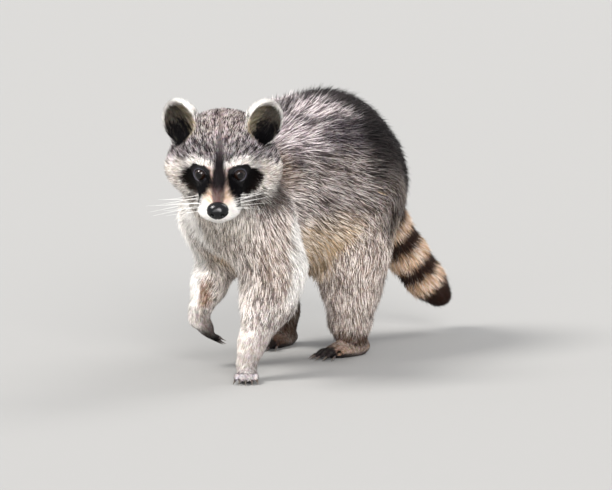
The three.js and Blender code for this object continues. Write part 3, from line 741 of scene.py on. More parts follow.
def tail_markings(p):
    """Tan with dark brown rings and a dark tip, and as dark as the rump at its root."""
    along = limb(p, "tail")[2] / (len(TAIL) - 1) + 0.006 * ripple(p, 12, 9)
    bands = [rise(along, start - TAIL_EDGE, start + TAIL_EDGE) * rise(along, end + TAIL_EDGE, end - TAIL_EDGE)
             for start, end in TAIL_BANDS]
    tan = mix(*TAIL_TAN, rise(ripple(p, 7, 10), -1, 1))
    colour = mix(RING_BROWN, tan, np.max(bands, axis=0))
    root = rise(along, 0.2, 0.06)
    return mix(colour, RUMP, root), 0.3 + 0.5 * root


# Colour of each paw's back and of its toes. The far hind paw's colours are darkened by painted shade.
PAW_TONES = {
    "fore_left": (tone(188, 180, 180), tone(178, 170, 172)),
    "fore_right": (tone(228, 217, 211), BLACK),
    "hind_left": (tone(146, 118, 98), tone(44, 38, 38)),
    "hind_right": (tone(84, 62, 48), tone(40, 32, 30)),
}
LIFTED = {"paw": "fore_right", "dark_sooner": 12, "more_sole": 0.75}  # the paw off the floor shows its palm


def paw_markings(p, normal):
    """Hair of the paw's own tone, dark toes and soles. Also how far each point is on a sole."""
    fronts = [np.linalg.norm(p - in_paw(name, (14, 0, 4)), axis=1) for name in PAWS]
    which = np.argmin(fronts, axis=0)
    axes = np.array([paw_axes(name) for name in PAWS])[which]
    backs, toes = (np.array([PAW_TONES[name][k] for name in PAWS])[which] for k in (0, 1))
    along = ((p - np.array([in_paw(name, (0, 0, 0)) for name in PAWS])[which]) * axes[:, :, 0]).sum(axis=1)
    lifted = which == list(PAWS).index(LIFTED["paw"])
    start = np.array([TOES[name.split("_")[0]]["root"] for name in PAWS])[which]
    start = start - LIFTED["dark_sooner"] * lifted
    colour = mix(backs, toes, rise(along + 2 * ripple(p, 8, 17), start - 2, start + 6))
    under = -(normal * axes[:, :, 2]).sum(axis=1) + LIFTED["more_sole"] * lifted
    sole = rise(under, 0.0, 0.45)
    return mix(colour, SOLE, sole), np.full(len(p), 0.3), sole


def markings(p, normal, shares):
    """Colour and strength of the grizzle at each point, from the markings of the forms by their shares."""
    colour, grizzle = body_markings(p, normal)
    ear_colour, cup = ear_markings(p)
    legs = sum(shares[name] for name in LEGS)
    parts = (
        (shares["trunk"] + shares["neck"], colour, grizzle),
        (legs, *leg_markings(p, normal, shares, colour)),
        (shares["tail"], *tail_markings(p)),
        (shares["head"], *head_markings(p)),
        (shares["ear"], ear_colour, np.full(len(p), 0.25)),
        (shares["paw"], *paw_markings(p, normal)[:2]),
    )
    colour = sum(share[:, None] * c for share, c, _ in parts)
    grizzle = sum(share * g for share, _, g in parts)
    return mix(colour, ear_colour, cup), mix(grizzle, 0.25, cup)


# ---------------------------------------------------------------- meshes from arrays and by operators


def active(obj):
    bpy.ops.object.select_all(action="DESELECT")
    obj.select_set(True)
    bpy.context.view_layer.objects.active = obj
    return obj


def apply_modifier(obj, kind, **settings):
    """Adds a modifier of a kind with the settings given, and applies it."""
    active(obj)
    modifier = obj.modifiers.new(kind.title(), kind)
    for name, value in settings.items():
        setattr(modifier, name, value)
    bpy.ops.object.modifier_apply(modifier=modifier.name)


def joined(objects, name):
    """One object of all of them, with the first one's place."""
    active(objects[0])
    for obj in objects:
        obj.select_set(True)
    bpy.ops.object.join()
    objects[0].name = objects[0].data.name = name
    return objects[0]


def points_of(obj):
    """A mesh's vertices in millimetres."""
    co = np.empty(len(obj.data.vertices) * 3)
    obj.data.vertices.foreach_get("co", co)
    return co.reshape(-1, 3) / MM


def set_points(obj, p):
    """Moves a mesh's vertices to new places, given in millimetres."""
    obj.data.vertices.foreach_set("co", np.ascontiguousarray(p * MM).ravel())
    obj.data.update()


def normals_of(obj):
    """The direction that the surface faces at each vertex."""
    normals = np.empty(len(obj.data.vertices) * 3)
    obj.data.vertex_normals.foreach_get("vector", normals)
    return normals.reshape(-1, 3)


def mesh_object(name, p, triangles):
    """A new object from points in millimetres and the triangles between them."""
    mesh = bpy.data.meshes.new(name)
    mesh.vertices.add(len(p))
    mesh.vertices.foreach_set("co", np.ascontiguousarray(p * MM).ravel())
    mesh.loops.add(triangles.size)
    mesh.loops.foreach_set("vertex_index", triangles.ravel().astype(np.int32))
    mesh.polygons.add(len(triangles))
    mesh.polygons.foreach_set("loop_start", np.arange(0, triangles.size, 3, dtype=np.int32))
    mesh.update(calc_edges=True)
    mesh.shade_smooth()
    obj = bpy.data.objects.new(name, mesh)
    bpy.context.collection.objects.link(obj)
    return obj


def paint(obj, colours):
    """Stores a colour for each vertex in the attribute that the materials read."""
    attribute = obj.data.color_attributes.new("Coat", "FLOAT_COLOR", "POINT")
    rgba = np.concatenate([np.clip(colours, 0, 1), np.ones((len(colours), 1))], axis=1)
    attribute.data.foreach_set("color", rgba.astype(np.float32).ravel())


def gathered_mesh(name, parts):
    """One object from parts that each start with their points and triangles."""
    offsets = np.cumsum([0] + [len(part[0]) for part in parts])
    p = np.concatenate([part[0] for part in parts])
    triangles = np.concatenate([part[1] + offset for part, offset in zip(parts, offsets)])
    return mesh_object(name, p, triangles), triangles


def settle(obj, finish, slot):
    """Finishes a piece: its material and the body that it rides on. Its slot is not used."""
    obj.data.materials.clear()
    obj.data.materials.append(finish)
    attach(obj, "root")
    return obj


# ---------------------------------------------------------------- materials

MOTTLE = {"scale": 260, "detail": 3, "share": 0.3}  # cells to the metre, layers, and how much of it shows


def material(name, roughness, specular):
    """A material that takes its colour from the Coat attribute, with a fine mottle on it."""
    made = bpy.data.materials.new(name)
    made.use_nodes = True
    nodes, links = made.node_tree.nodes, made.node_tree.links
    shader = nodes["Principled BSDF"]
    shader.inputs["Roughness"].default_value = roughness
    shader.inputs["Specular IOR Level"].default_value = specular
    colour = nodes.new("ShaderNodeAttribute")
    colour.attribute_name = "Coat"
    place = nodes.new("ShaderNodeTexCoord")
    noise = nodes.new("ShaderNodeTexNoise")
    noise.inputs["Scale"].default_value = MOTTLE["scale"]
    noise.inputs["Detail"].default_value = MOTTLE["detail"]
    links.new(place.outputs["Object"], noise.inputs["Vector"])
    mottle = nodes.new("ShaderNodeMix")
    mottle.data_type = "RGBA"
    mottle.blend_type = "SOFT_LIGHT"
    mottle.inputs[0].default_value = MOTTLE["share"]
    links.new(colour.outputs["Color"], mottle.inputs[6])
    links.new(noise.outputs["Color"], mottle.inputs[7])
    links.new(mottle.outputs[2], shader.inputs["Base Color"])
    return made


def with_bump(made, texture, scale, strength, distance):
    """Adds relief from a noise or cell texture, scale in cells to the metre, distance in metres."""
    nodes, links = made.node_tree.nodes, made.node_tree.links
    place = nodes.new("ShaderNodeTexCoord")
    pattern = nodes.new(texture)
    pattern.inputs["Scale"].default_value = scale
    bump = nodes.new("ShaderNodeBump")
    bump.inputs["Strength"].default_value = strength
    bump.inputs["Distance"].default_value = distance
    links.new(place.outputs["Object"], pattern.inputs["Vector"])
    links.new(pattern.outputs[0], bump.inputs["Height"])
    links.new(bump.outputs["Normal"], nodes["Principled BSDF"].inputs["Normal"])
    return made


fur_finish = material("fur", roughness=0.62, specular=0.12)
short_fur_finish = material("short_fur", roughness=0.62, specular=0.05)
skin_finish = with_bump(material("skin", 0.6, 0.12), "ShaderNodeTexNoise", 900, 0.5, 0.0006)
nose_finish = with_bump(material("nose_leather", 0.22, 0.35), "ShaderNodeTexVoronoi", 1500, 0.15, 0.0003)
eye_finish = material("eye_gloss", roughness=0.05, specular=0.34)
claw_finish = with_bump(material("claw_horn", 0.35, 0.5), "ShaderNodeTexNoise", 700, 0.3, 0.0003)
whisker_finish = material("whisker", roughness=0.35, specular=0.5)

# ---------------------------------------------------------------- skin

SKIN_VOXEL = 1.5
SKIN_TRIANGLES = 150_000  # before the lids get finer
SWELL = 0.5  # closes the gaps between the solids before they are remeshed as one
LID_ZONES = (20, 14)  # within these distances of an eye's middle the skin is made finer, one after the other
DRAWS = (4, 3)  # turns of drawing the skin onto its field, before and after the coat's depth is read again
FLOOR_GAP = 0.02
PAINTED_COAT_SHADE = 0.75  # painted shade: the skin between the tufts is darkened, as the coat over it would shade it
GAZE = {"out": 24, "up": 0.1}  # degrees to the side, and the rise of the look
MOUTH_GROOVE = {"deep": 1.5, "wide": 0.9}
NOSE_PARTING = {"deep": 0.9, "wide": 0.8}
FLESH_NODES = [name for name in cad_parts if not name.startswith("eye_") and name != "nose"]


def copy_of(node):
    """A free copy of a solid, with a mesh of its own."""
    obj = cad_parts[node].copy()
    obj.data = obj.data.copy()
    obj.parent = None
    for key in list(obj.keys()):
        del obj[key]
    bpy.context.collection.objects.link(obj)
    return obj


def fine_ear(side):
    """A smooth ear to remesh in place of the faceted one: a ball less the hollow of its cup."""
    balls = []
    for size, shift in ((EAR["size"], (0, 0, 0)), (EAR["hollow"], EAR["shift"])):
        bpy.ops.mesh.primitive_uv_sphere_add(segments=48, ring_count=32)
        ball = bpy.context.object
        axes = ear_axes(side)
        place = ear_middle(side) + axes @ np.array(shift, float)
        set_points(ball, (points_of(ball) * MM * np.array(size)) @ axes.T + place)
        balls.append(ball)
    apply_modifier(balls[0], "BOOLEAN", operation="DIFFERENCE", object=balls[1], solver="EXACT")
    bpy.data.objects.remove(balls[1])
    return balls[0]


def thicken(obj, amount):
    """Merges a mesh's loose triangles and swells it outwards."""
    active(obj)
    bpy.ops.object.mode_set(mode="EDIT")
    bpy.ops.mesh.select_all(action="SELECT")
    bpy.ops.mesh.remove_doubles(threshold=1e-5)
    bpy.ops.mesh.normals_make_consistent(inside=False)
    bpy.ops.transform.shrink_fatten(value=amount * MM)
    bpy.ops.object.mode_set(mode="OBJECT")


def fine_region(p):
    """1 where the skin keeps its finest triangles: face, ears and paws."""
    h = to_head(p)
    face = rise(h[:, 0], -70, -50) * rise(np.linalg.norm(h, axis=1), 120, 90)
    paws = [rise(np.linalg.norm(p - in_paw(name, PAW_MIDDLE), axis=1), 66, 50) for name in PAWS]
    return np.maximum(face, np.max(paws, axis=0))


def eye_axes(side):
    """Columns: where the eye looks, across it and up."""
    look = unit(HEAD_AXES @ np.array((1, side * math.tan(math.radians(GAZE["out"])), GAZE["up"])))
    across = unit(np.cross(HEAD_AXES[:, 2], look))
    return np.stack([look, across, np.cross(look, across)], axis=1)


def lid_place(p, centre, side):
    """How far ahead of an eye's middle and how far from it, and how far out in its opening, 1 at the edge."""
    q = (p - centre) @ eye_axes(side)
    r = np.linalg.norm(q, axis=1)
    return q[:, 0], r, np.hypot(q[:, 1] / r / LID["half_width"], q[:, 2] / r / LID["half_height"])


def above_lips(h):
    """How far each place in the head's frame is above the line of the lips."""
    return h[:, 2] - (MOUTH["z"] - MOUTH["slope"] * (h[:, 0] - MOUTH["x"]))


def skin_field(p, depth):
    """The skin: inside the outline by the coat, opened between the lids and creased at the mouth."""
    total = outline(p, depth, EAR_COAT, PAW_COAT, LID_COAT)
    for centre, side in zip(EYE_CENTRES, SIDES.values()):
        ahead, r, out = lid_place(p, centre, side)
        opening = np.where(ahead > 0, (out - 1) * EYE_RADIUS * 0.8, FAR)
        total = np.maximum(total, -np.maximum(opening, EYE_RADIUS - 1 - r))
    h = to_head(p)
    x, side, up = h[:, 0], np.abs(h[:, 1]), h[:, 2]
    groove = np.exp(-((above_lips(h) / MOUTH_GROOVE["wide"]) ** 2)) * rise(x, MOUTH["end"], MOUTH["end"] + 8)
    parting = np.exp(-((side / NOSE_PARTING["wide"]) ** 2))
    parting = parting * (rise(x, 40, 44) * rise(up, -29, -27.5) * rise(up, -34, -32))
    total = total + MOUTH_GROOVE["deep"] * groove + NOSE_PARTING["deep"] * parting
    return np.maximum(total, FLOOR_GAP - p[:, 2])


def subdivide_near_eyes(obj, reach):
    """Splits each triangle within reach of an eye's middle."""
    mesh = bmesh.new()
    mesh.from_mesh(obj.data)
    centres = [Vector(centre * MM) for centre in EYE_CENTRES]
    close = [v for v in mesh.verts if min((v.co - centre).length for centre in centres) < reach * MM]
    chosen = set(close)
    edges = [e for e in mesh.edges if e.verts[0] in chosen and e.verts[1] in chosen]
    bmesh.ops.subdivide_edges(mesh, edges=edges, cuts=1, use_grid_fill=True)
    bmesh.ops.triangulate(mesh, faces=mesh.faces)
    mesh.to_mesh(obj.data)
    mesh.free()


def thin_out(skin):
    """Fewer, larger triangles, except on the face, ears and paws."""
    keep = skin.vertex_groups.new(name="coarse")
    coarse = np.round(1 - fine_region(points_of(skin)), 1)
    for level in np.unique(coarse):
        keep.add(np.flatnonzero(coarse == level).tolist(), float(level), "REPLACE")
    share = min(1, SKIN_TRIANGLES / (len(skin.data.polygons) * 2))
    apply_modifier(skin, "DECIMATE", ratio=share, vertex_group="coarse", vertex_group_factor=4)


def make_skin():
    """One skin from the solids: remeshed, finer where it matters, drawn onto its field and painted."""
    solids = [copy_of(name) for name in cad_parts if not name.startswith("ear_")]
    solids += [fine_ear(side) for side in SIDES.values()]
    skin = joined(solids, "skin")
    thicken(skin, SWELL)
    apply_modifier(skin, "REMESH", mode="VOXEL", voxel_size=SKIN_VOXEL * MM)
    thin_out(skin)
    for reach in LID_ZONES:
        subdivide_near_eyes(skin, reach)
    p = points_of(skin)
    for turns in DRAWS:
        depth = survey(p)["depth"]
        p = drawn_onto(lambda q: skin_field(q, depth), p, turns)
    set_points(skin, p)
    skin.data.shade_smooth()
    colour, _ = markings(p, normals_of(skin), survey(p)["shares"])
    # The skin takes the markings, darkened by painted shade from the coat over it.
    paint(skin, colour * PAINTED_COAT_SHADE)
    settle(skin, skin_finish, "coat")
    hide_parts(*FLESH_NODES)
    return skin


# ---------------------------------------------------------------- tufts of the coat

SHORT = 10.0  # a tuft shorter than this is a straight spike
PIECE_TUFTS = 18_500  # most bent tufts in one piece
PATCH = 0.003  # the width of a tuft on its OFBake map
# Bare places: where hair thins out by the eyes and lips, the rim of the lids, and the nose's half sizes.
BARE = {"lids": (2.6, 1.6), "lid_rim": 1.22, "lid_reach": 6, "lips": (1.3, 0.7), "nose": (10.5, 12.4, 10.2)}

# Where along its length a tuft turns over, how far up the coat, and how far below its top in the end.
BEND_AT, BEND_UP, BEND_BELOW = 0.6, 0.6, (0.15, 0.45)
LENGTHS = (0.75, 1.15)  # the shares of its form's length that single tufts have
SWAY, JITTER = 0.18, 0.18  # how far the lie wanders in waves, and from tuft to tuft
LOCK_CELLS = {"long": 2.5, "short": 1.4, "from": 14}  # tufts whose roots share a cell gather into one lock
GATHERED = 0.32  # how far the tips of a lock come together
PROUD = (-0.25, 0.1)  # how far the tips end past the outline, as shares of the coat's depth
RUFF_PROUD, EAR_PROUD = 4, 3.5  # millimetres more under the cheeks, and up to this much more on the ears
GUARD_SHARE, GUARD_PROUD = 0.06, 0.22  # how many tufts stand out of the coat, and how far

# The grizzle: which chances make a tuft dark or pale, the shares of dark, plain and pale tufts, and how much
# paler and darker they are at the middle and at the tip.
DARK_CHANCE, PALE_CHANCE = (0.46, 0.38), (0.58, 0.68)
GRIZZLE_SHARES = (0.42, 0.21, 0.37)
GRIZZLE = ((0.6, 1.0), (1.35, 2.3))
PALE_GREY, GREYED = (1, 0.97, 0.93), 0.6  # the grey that pale tufts tend to, and how far
PALEST = 0.92  # no colour of a tuft is brighter than this
PAINTED_ROOT_SHADE, SPIKE_BASE = 0.6, 0.55  # how much painted shade darkens a root, deep in the coat, and how far a spike's base is on from that

# The form of a tuft: how flat it is, how deep it starts, and how much narrower a bent one is at its root.
FLATNESS, ROOT_DEPTH, ROOT_WIDTH = 0.22, 0.4, 0.7
SURFACE_LIGHT = 0.52  # how far a tuft is shaded as the body under it rather than as its own round
RING = np.radians((90, 330, 210))
STEPS = [(k, (k + 1) % 3) for k in range(3)]
SPIKE = np.array(((0, 2, 1), *((a, b, 3) for a, b in STEPS)))
BENT = np.array(((0, 2, 1), *((a, b, 3 + b) for a, b in STEPS), *((a, 3 + b, 3 + a) for a, b in STEPS),
                 *((3 + a, 3 + b, 6) for a, b in STEPS)))


def bare_skin(p, normals, shares):
    """1 on lids, lips, nose leather, soles and the lifted palm, where no tuft grows."""
    bare = shares["paw"] * paw_markings(p, normals)[2]
    start, full = BARE["lids"]
    for centre in EYE_CENTRES:
        away = np.linalg.norm(p - centre, axis=1)
        bare = np.maximum(bare, rise(away, EYE_RADIUS + start, EYE_RADIUS + full))
    for centre, side in zip(EYE_CENTRES, SIDES.values()):
        ahead, r, out = lid_place(p, centre, side)
        on_lid = np.where((out < BARE["lid_rim"]) & (ahead > 0), 1, 0)
        bare = np.where(r < EYE_RADIUS + BARE["lid_reach"], on_lid, bare)
    h = to_head(p)
    lips = rise(np.abs(above_lips(h)), *BARE["lips"]) * rise(h[:, 0], MOUTH["end"] + 2, MOUTH["end"] + 8)
    nose = ellipsoid(p, on_head(NOSE["x"], 0, NOSE["z"]), BARE["nose"], HEAD_AXES) < 0
    return np.maximum(np.maximum(bare, lips * shares["head"]), nose)


def random_spots(wanted):
    """Faces, with corner weights, for one spot on each whole of the wanted counts, added up face by face."""
    hits = np.arange(0.5, wanted[-1])
    hits = hits + draw.uniform(-0.5, 0.5, len(hits))
    face = np.clip(np.searchsorted(wanted, np.clip(hits, 0, wanted[-1] - 1e-6)), 0, len(wanted) - 1)
    u, v = draw.uniform(size=(2, len(face)))
    flip = u + v > 1
    u, v = np.where(flip, 1 - u, u), np.where(flip, 1 - v, v)
    return face, np.stack([1 - u - v, u, v], axis=1)


def grow_on(skin, thin):
    """Where tufts grow: evenly by area and count over the skin, with what the skin knows at each root."""
    mesh = skin.data
    corners = np.empty(len(mesh.polygons) * 3, np.int32)
    mesh.loops.foreach_get("vertex_index", corners)
    corners = corners.reshape(-1, 3)
    p, normals = points_of(skin), normals_of(skin)
    known = survey(p)
    a, b, c = (p[corners[:, i]] for i in range(3))
    area = np.linalg.norm(np.cross(b - a, c - a), axis=1) / 2
    haired = 1 - bare_skin(p, normals, known["shares"])[corners].mean(axis=1)
    wanted = (area * known["count"][corners].mean(axis=1) * haired / thin).cumsum()
    face, weights = random_spots(wanted)

    def at_roots(values):
        return np.einsum("nk...,nk->n...", values[corners[face]], weights)

    tufts = {key: at_roots(known[key]) for key in ("lie", "depth", "length", "width")}
    tufts["shares"] = {name: at_roots(share) for name, share in known["shares"].items()}
    return {"root": at_roots(p), "normal": unit(at_roots(normals)), **tufts}


def cells(p, size):
    """A number for each point's cell of a jittered grid, so that tufts in one cell share it."""
    grid = np.floor((p + ripple(p, size * 6, 12)[:, None] * size * 0.4) / size).astype(np.int64)
    key = grid @ np.array((1, 4001, 4001 * 4001))
    return np.unique(key, return_inverse=True)[1]


def lock_of(t):
    """The number of the lock that each tuft gathers into."""
    large, small = (cells(t["root"], LOCK_CELLS[size]) for size in ("long", "short"))
    own = np.where(t["length"] > LOCK_CELLS["from"], large, small + large.max() + 1)
    return np.unique(own, return_inverse=True)[1]


def gather(values, cell):
    """The mean of the values in each cell."""
    count = np.bincount(cell)
    sums = np.stack([np.bincount(cell, values[:, i]) for i in range(3)], axis=1)
    return (sums / count[:, None])[cell]


def flat_on(normal, way):
    """The way turned to lie along the surface."""
    return unit(way - (way * normal).sum(axis=1, keepdims=True) * normal)


def bend_tufts(t):
    """Gives each tuft a middle and a tip: it leaves the skin, turns over and ends near the outline."""
    n = len(t["root"])
    size = t["length"] * draw.uniform(*LENGTHS, n)
    sway = ripple(t["root"], 60, 21)[:, None] * np.cross(t["normal"], t["lie"]) * SWAY
    lie = flat_on(t["normal"], t["lie"] + sway + draw.normal(0, JITTER, (n, 3)))
    lock = lock_of(t)
    middle = t["root"] + lie * (size * BEND_AT)[:, None] + t["normal"] * (t["depth"] * BEND_UP)[:, None]
    middle = drawn_onto(outline, middle, 2, -t["depth"] * draw.uniform(*BEND_BELOW, n))
    onward = flat_on(unit(slope(outline, middle)[1]), middle - t["root"])
    tip = middle + onward * (size * (1 - BEND_AT))[:, None]
    tip = tip + (gather(tip, lock) - tip) * (GATHERED * rise(t["length"], 4, 16))[:, None]
    tip = drawn_onto(outline, tip, 2, how_proud(t))
    chance = 0.8 * draw.uniform(size=lock.max() + 1)[lock] + 0.2 * draw.uniform(size=n)
    return {**t, "middle": middle, "tip": tip, "chance": chance}


def how_proud(t):
    """How far past the outline each tip ends: more on the ruff under the cheeks and on the ears."""
    n = len(t["root"])
    ruff = t["shares"]["head"] * rise(to_head(t["root"])[:, 2], 0, -24) * rise(t["depth"], 4, 9)
    proud = t["depth"] * draw.uniform(*PROUD, n) + RUFF_PROUD * ruff
    proud = proud + t["shares"]["ear"] * draw.uniform(0, EAR_PROUD, n)
    return np.where(draw.uniform(size=n) < GUARD_SHARE, t["depth"] * GUARD_PROUD, proud)


def colour_tufts(t):
    """Root, middle and tip colours: the markings there, made paler or darker tuft by tuft for the grizzle,
    with painted shade at the root.
    """
    seen = (t["middle"] + t["tip"]) / 2
    colour, grizzle = markings(seen, t["normal"], t["shares"])
    dark, pale = rise(t["chance"], *DARK_CHANCE), rise(t["chance"], *PALE_CHANCE)
    plain = mix(colour, colour.mean(axis=1, keepdims=True) * PALE_GREY, GREYED * pale)
    darks, plains, pales = GRIZZLE_SHARES
    colours = []
    for to_pale, to_dark in GRIZZLE:
        change = np.exp(grizzle * (to_pale * pale - to_dark * dark)) * (0.94 + 0.12 * t["chance"])
        mean = darks * np.exp(-grizzle * to_dark) + plains + pales * np.exp(grizzle * to_pale)
        changed = plain * (change / mean)[:, None]
        colours.append(changed / np.maximum(changed.max(axis=1, keepdims=True) / PALEST, 1))
    # The root colour is darkened with painted shade from deep in the coat.
    return {**t, "colours": [colours[0] * PAINTED_ROOT_SHADE, *colours]}


def unwrap(t, form):
    """Each root's place on its form rolled out flat, round it and along it, inside a margin of the map."""
    axis, middle = HEAD_AXES[:, 0], t["root"].mean(axis=0)
    if form in LIMBS:
        ends = [at for at, *_ in LIMBS[form][0]]
        axis, middle = unit(ends[-1] - ends[0]), np.mean(ends, axis=0)
    side = flat_on(axis[None], np.array([[0.1, 0.2, 1.0]]))[0]
    q = t["root"] - middle
    around = np.arctan2(q @ np.cross(axis, side), q @ side)
    along = limb(t["root"], form)[2] if form in LIMBS else q @ axis
    uv = np.stack([around, along], axis=1)
    low, high = uv.min(axis=0), uv.max(axis=0)
    return 0.01 + 0.98 * (uv - low) / (high - low)


def tuft_mesh(t, uv, straight):
    """Points, triangles, colours, map and shading of many tufts, each a flat lock that ends in a point."""
    side = unit(np.cross(unit(t["tip"] - t["root"]), t["normal"]))
    over = np.cross(side, unit(t["tip"] - t["root"]))
    wide, thick = t["width"] / 2, t["width"] * FLATNESS
    start = t["root"] - t["normal"] * ROOT_DEPTH
    # The root colour holds painted shade from deep in the coat.
    root, middle, tip = t["colours"]
    rings = [(start, ROOT_WIDTH, root, -0.5), (t["middle"], 1, middle, 0)]
    if straight:
        rings = [(start, 1, mix(root, middle, SPIKE_BASE), -0.5)]
    rows = []
    for at, size, colour, up in rings:
        for a in RING:
            corner = np.cos(a) * side * wide[:, None] + np.sin(a) * over * thick[:, None]
            facing = unit(mix(np.cos(a) * side + np.sin(a) * over, t["normal"], SURFACE_LIGHT))
            place = uv + PATCH * np.array((np.cos(a) / 2, up))
            rows.append((at + corner * size, colour, place, facing))
    rows.append((t["tip"], tip, uv + PATCH * np.array((0, 0.5)), t["normal"]))
    p, c, m, n = (np.stack(layer, axis=1).reshape(-1, layer[0].shape[-1]) for layer in zip(*rows))
    p[:, 2] = np.maximum(p[:, 2], FLOOR_GAP)
    pattern = SPIKE if straight else BENT
    triangles = (np.arange(len(uv))[:, None, None] * len(rows) + pattern).reshape(-1, 3)
    return p, triangles, c, m, n


def coat_piece(name, t, finish, slot, form):
    """One mesh of tufts with its colours, its OFBake map and its shading."""
    uv = unwrap(t, form)
    short = t["length"] < SHORT
    kinds = [(straight, short == straight) for straight in (True, False)]
    parts = [tuft_mesh(only(t, chosen), uv[chosen], straight) for straight, chosen in kinds if chosen.any()]
    obj, triangles = gathered_mesh(name, parts)
    colours, places, facing = (np.concatenate([part[k] for part in parts]) for k in (2, 3, 4))
    paint(obj, colours)
    obj.data.normals_split_custom_set_from_vertices(facing)
    layer = obj.data.uv_layers.new(name="OFBake")
    layer.data.foreach_set("uv", places[triangles.ravel()].astype(np.float32).ravel())
    return settle(obj, finish, slot)


def only(t, chosen):
    """The chosen tufts."""
    picked = {}
    for key, value in t.items():
        if key == "shares":
            picked[key] = {name: share[chosen] for name, share in value.items()}
        elif key == "colours":
            picked[key] = [colour[chosen] for colour in value]
        else:
            picked[key] = value[chosen]
    return picked


SLOTS = {"trunk": "coat", "neck": "coat", "head": "face", "ear": "ear", "paw": "paw", "tail": "ring_dark"}


def make_coat(skin):
    """Grows the coat and parts it into pieces, by form and from the tail end to the head end."""
    t = colour_tufts(bend_tufts(grow_on(skin, 1)))
    belongs = np.argmax(list(t["shares"].values()), axis=0)
    for index, form in enumerate(t["shares"]):
        group = only(t, belongs == index)
        order = np.argsort(group["root"][:, 0])
        total = np.where(group["length"] < SHORT, len(SPIKE), len(BENT))[order].cumsum()
        count = int(np.ceil(total[-1] / (PIECE_TUFTS * len(BENT))))
        bounds = np.searchsorted(total, np.linspace(0, total[-1] + 1, count + 1))
        finish = short_fur_finish if form in ("head", "ear", "paw") else fur_finish
        slot = SLOTS.get(form, "pale_coat")
        for part in range(count):
            chosen = np.zeros(len(order), bool)
            chosen[order[bounds[part]:bounds[part + 1]]] = True
            coat_piece(f"coat_{form}_{part + 1}", only(group, chosen), finish, slot, form)


# ---------------------------------------------------------------- eyes, nose, claws and whiskers

EYE = {"pupil": 25, "iris": 52, "bulge": 0.7, "spokes": 23}  # half angles, and how far the cornea stands out
PUPIL, EYE_RIM = tone(3, 2, 3), tone(12, 9, 9)
IRIS = (tone(20, 11, 7), tone(36, 20, 12))
NOSE = {"x": 45.5, "z": -22, "size": (9.8, 12.1, 9.7)}
NOSTRIL = {"side": 5.6, "up": -2.0, "radius": 2.3, "depth": 3.4}  # its place from the nose's middle
SLIT = {"wide": 0.9, "drop": 0.6, "curve": 0.05, "deep": 0.5, "pinch": 1.5}  # runs out from the nostril
WING = {"up": 3.4, "radius": 3, "proud": 0.5}  # the swelling over the nostril
CLEFT = {"wide": 0.7, "deep": 0.9}  # between the nostrils
# The nose's black, and a deeper black painted as shade in the nostrils, slits and cleft.
NOSE_BLACK = (tone(6, 6, 8), tone(2, 2, 2))
CLAW = {"length": 9, "radius": 1.5, "tall": 1.25, "taper": 0.25, "point": 0.12, "dip": 24}
CLAW_ROOT = {"back": 1.5, "up": 0.9}  # from the toe's tip
CLAW_GAP = 0.15  # least height over the floor
CLAW_HORN = (tone(52, 44, 40), tone(92, 82, 74))
WHISKER_WHITE = tone(244, 242, 238)


def ball(name, segments, rings):
    """A new ball, and its points on a unit ball round the middle."""
    bpy.ops.mesh.primitive_uv_sphere_add(segments=segments, ring_count=rings)
    obj = bpy.context.object
    obj.name = obj.data.name = name
    return obj, points_of(obj) * MM


def make_eye(name, side, centre):
    """A dark glossy eye: pupil, brown iris and nearly black rim, under a cornea that stands out a little."""
    obj, q = ball(f"eyeball_{name}", 72, 48)
    ahead = np.degrees(np.arccos(np.clip(q[:, 2], -1, 1)))  # the pole looks ahead, where the rings are round
    axes = eye_axes(side)
    placing = np.stack([axes[:, 1], axes[:, 2], axes[:, 0]], axis=1)
    radius = EYE_RADIUS + EYE["bulge"] * rise(ahead, 50, 20)
    set_points(obj, (q * radius[:, None]) @ placing.T + centre)
    spokes = 0.5 + 0.5 * np.sin(np.arctan2(q[:, 1], q[:, 0]) * EYE["spokes"])
    iris = mix(*IRIS, spokes * rise(ahead, EYE["iris"], EYE["pupil"]))
    colour = mix(PUPIL, iris, rise(ahead, EYE["pupil"] - 2, EYE["pupil"] + 3))
    paint(obj, mix(colour, EYE_RIM, rise(ahead, EYE["iris"] - 6, EYE["iris"] + 2)))
    obj.data.shade_smooth()
    settle(obj, eye_finish, "eye")
    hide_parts(f"eye_{name}")


def nose_form(q):
    """The nose pad from a ball's points, with nostrils, slits and a cleft, and how much painted shade darkens
    each point in them.
    """
    x, y, z = (q * np.array(NOSE["size"])).T
    side = np.abs(y)
    front = rise(x, -2, 4)
    y = y * (1 - 0.16 * rise(z, -2, -9) + 0.03 * rise(z, 2, 7))
    out, up = side - NOSTRIL["side"], z - NOSTRIL["up"]
    hole = np.exp(-((out**2 + up**2) / NOSTRIL["radius"] ** 2) ** 1.5)
    slit = np.exp(-(((up - SLIT["curve"] * out**2 + SLIT["drop"]) / SLIT["wide"]) ** 2))
    slit = slit * rise(out, 0, 1.5) * rise(x, -6, -2)
    cleft = np.exp(-((y / CLEFT["wide"]) ** 2)) * rise(z, 1.5, -3) * front
    wing = np.exp(-((out**2 + (up - WING["up"]) ** 2) / WING["radius"] ** 2)) * front
    inward = NOSTRIL["depth"] * hole + CLEFT["deep"] * cleft - WING["proud"] * wing
    x = x - front * inward - SLIT["deep"] * slit
    y = y - np.sign(y) * SLIT["pinch"] * slit
    return np.stack([x, y, z], axis=1), np.maximum(np.maximum(hole, 0.8 * slit), 0.5 * cleft)


def make_nose():
    """The bare nose: a rounded pad with two comma nostrils and a cleft between them."""
    obj, q = ball("nose_pad", 96, 72)
    shaped, dark = nose_form(q)
    set_points(obj, shaped @ HEAD_AXES.T + on_head(NOSE["x"], 0, NOSE["z"]))
    # The nostrils, slits and cleft are darkened with painted shade.
    paint(obj, mix(*NOSE_BLACK, dark))
    obj.data.shade_smooth()
    settle(obj, nose_finish, "nose")
    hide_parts("nose")


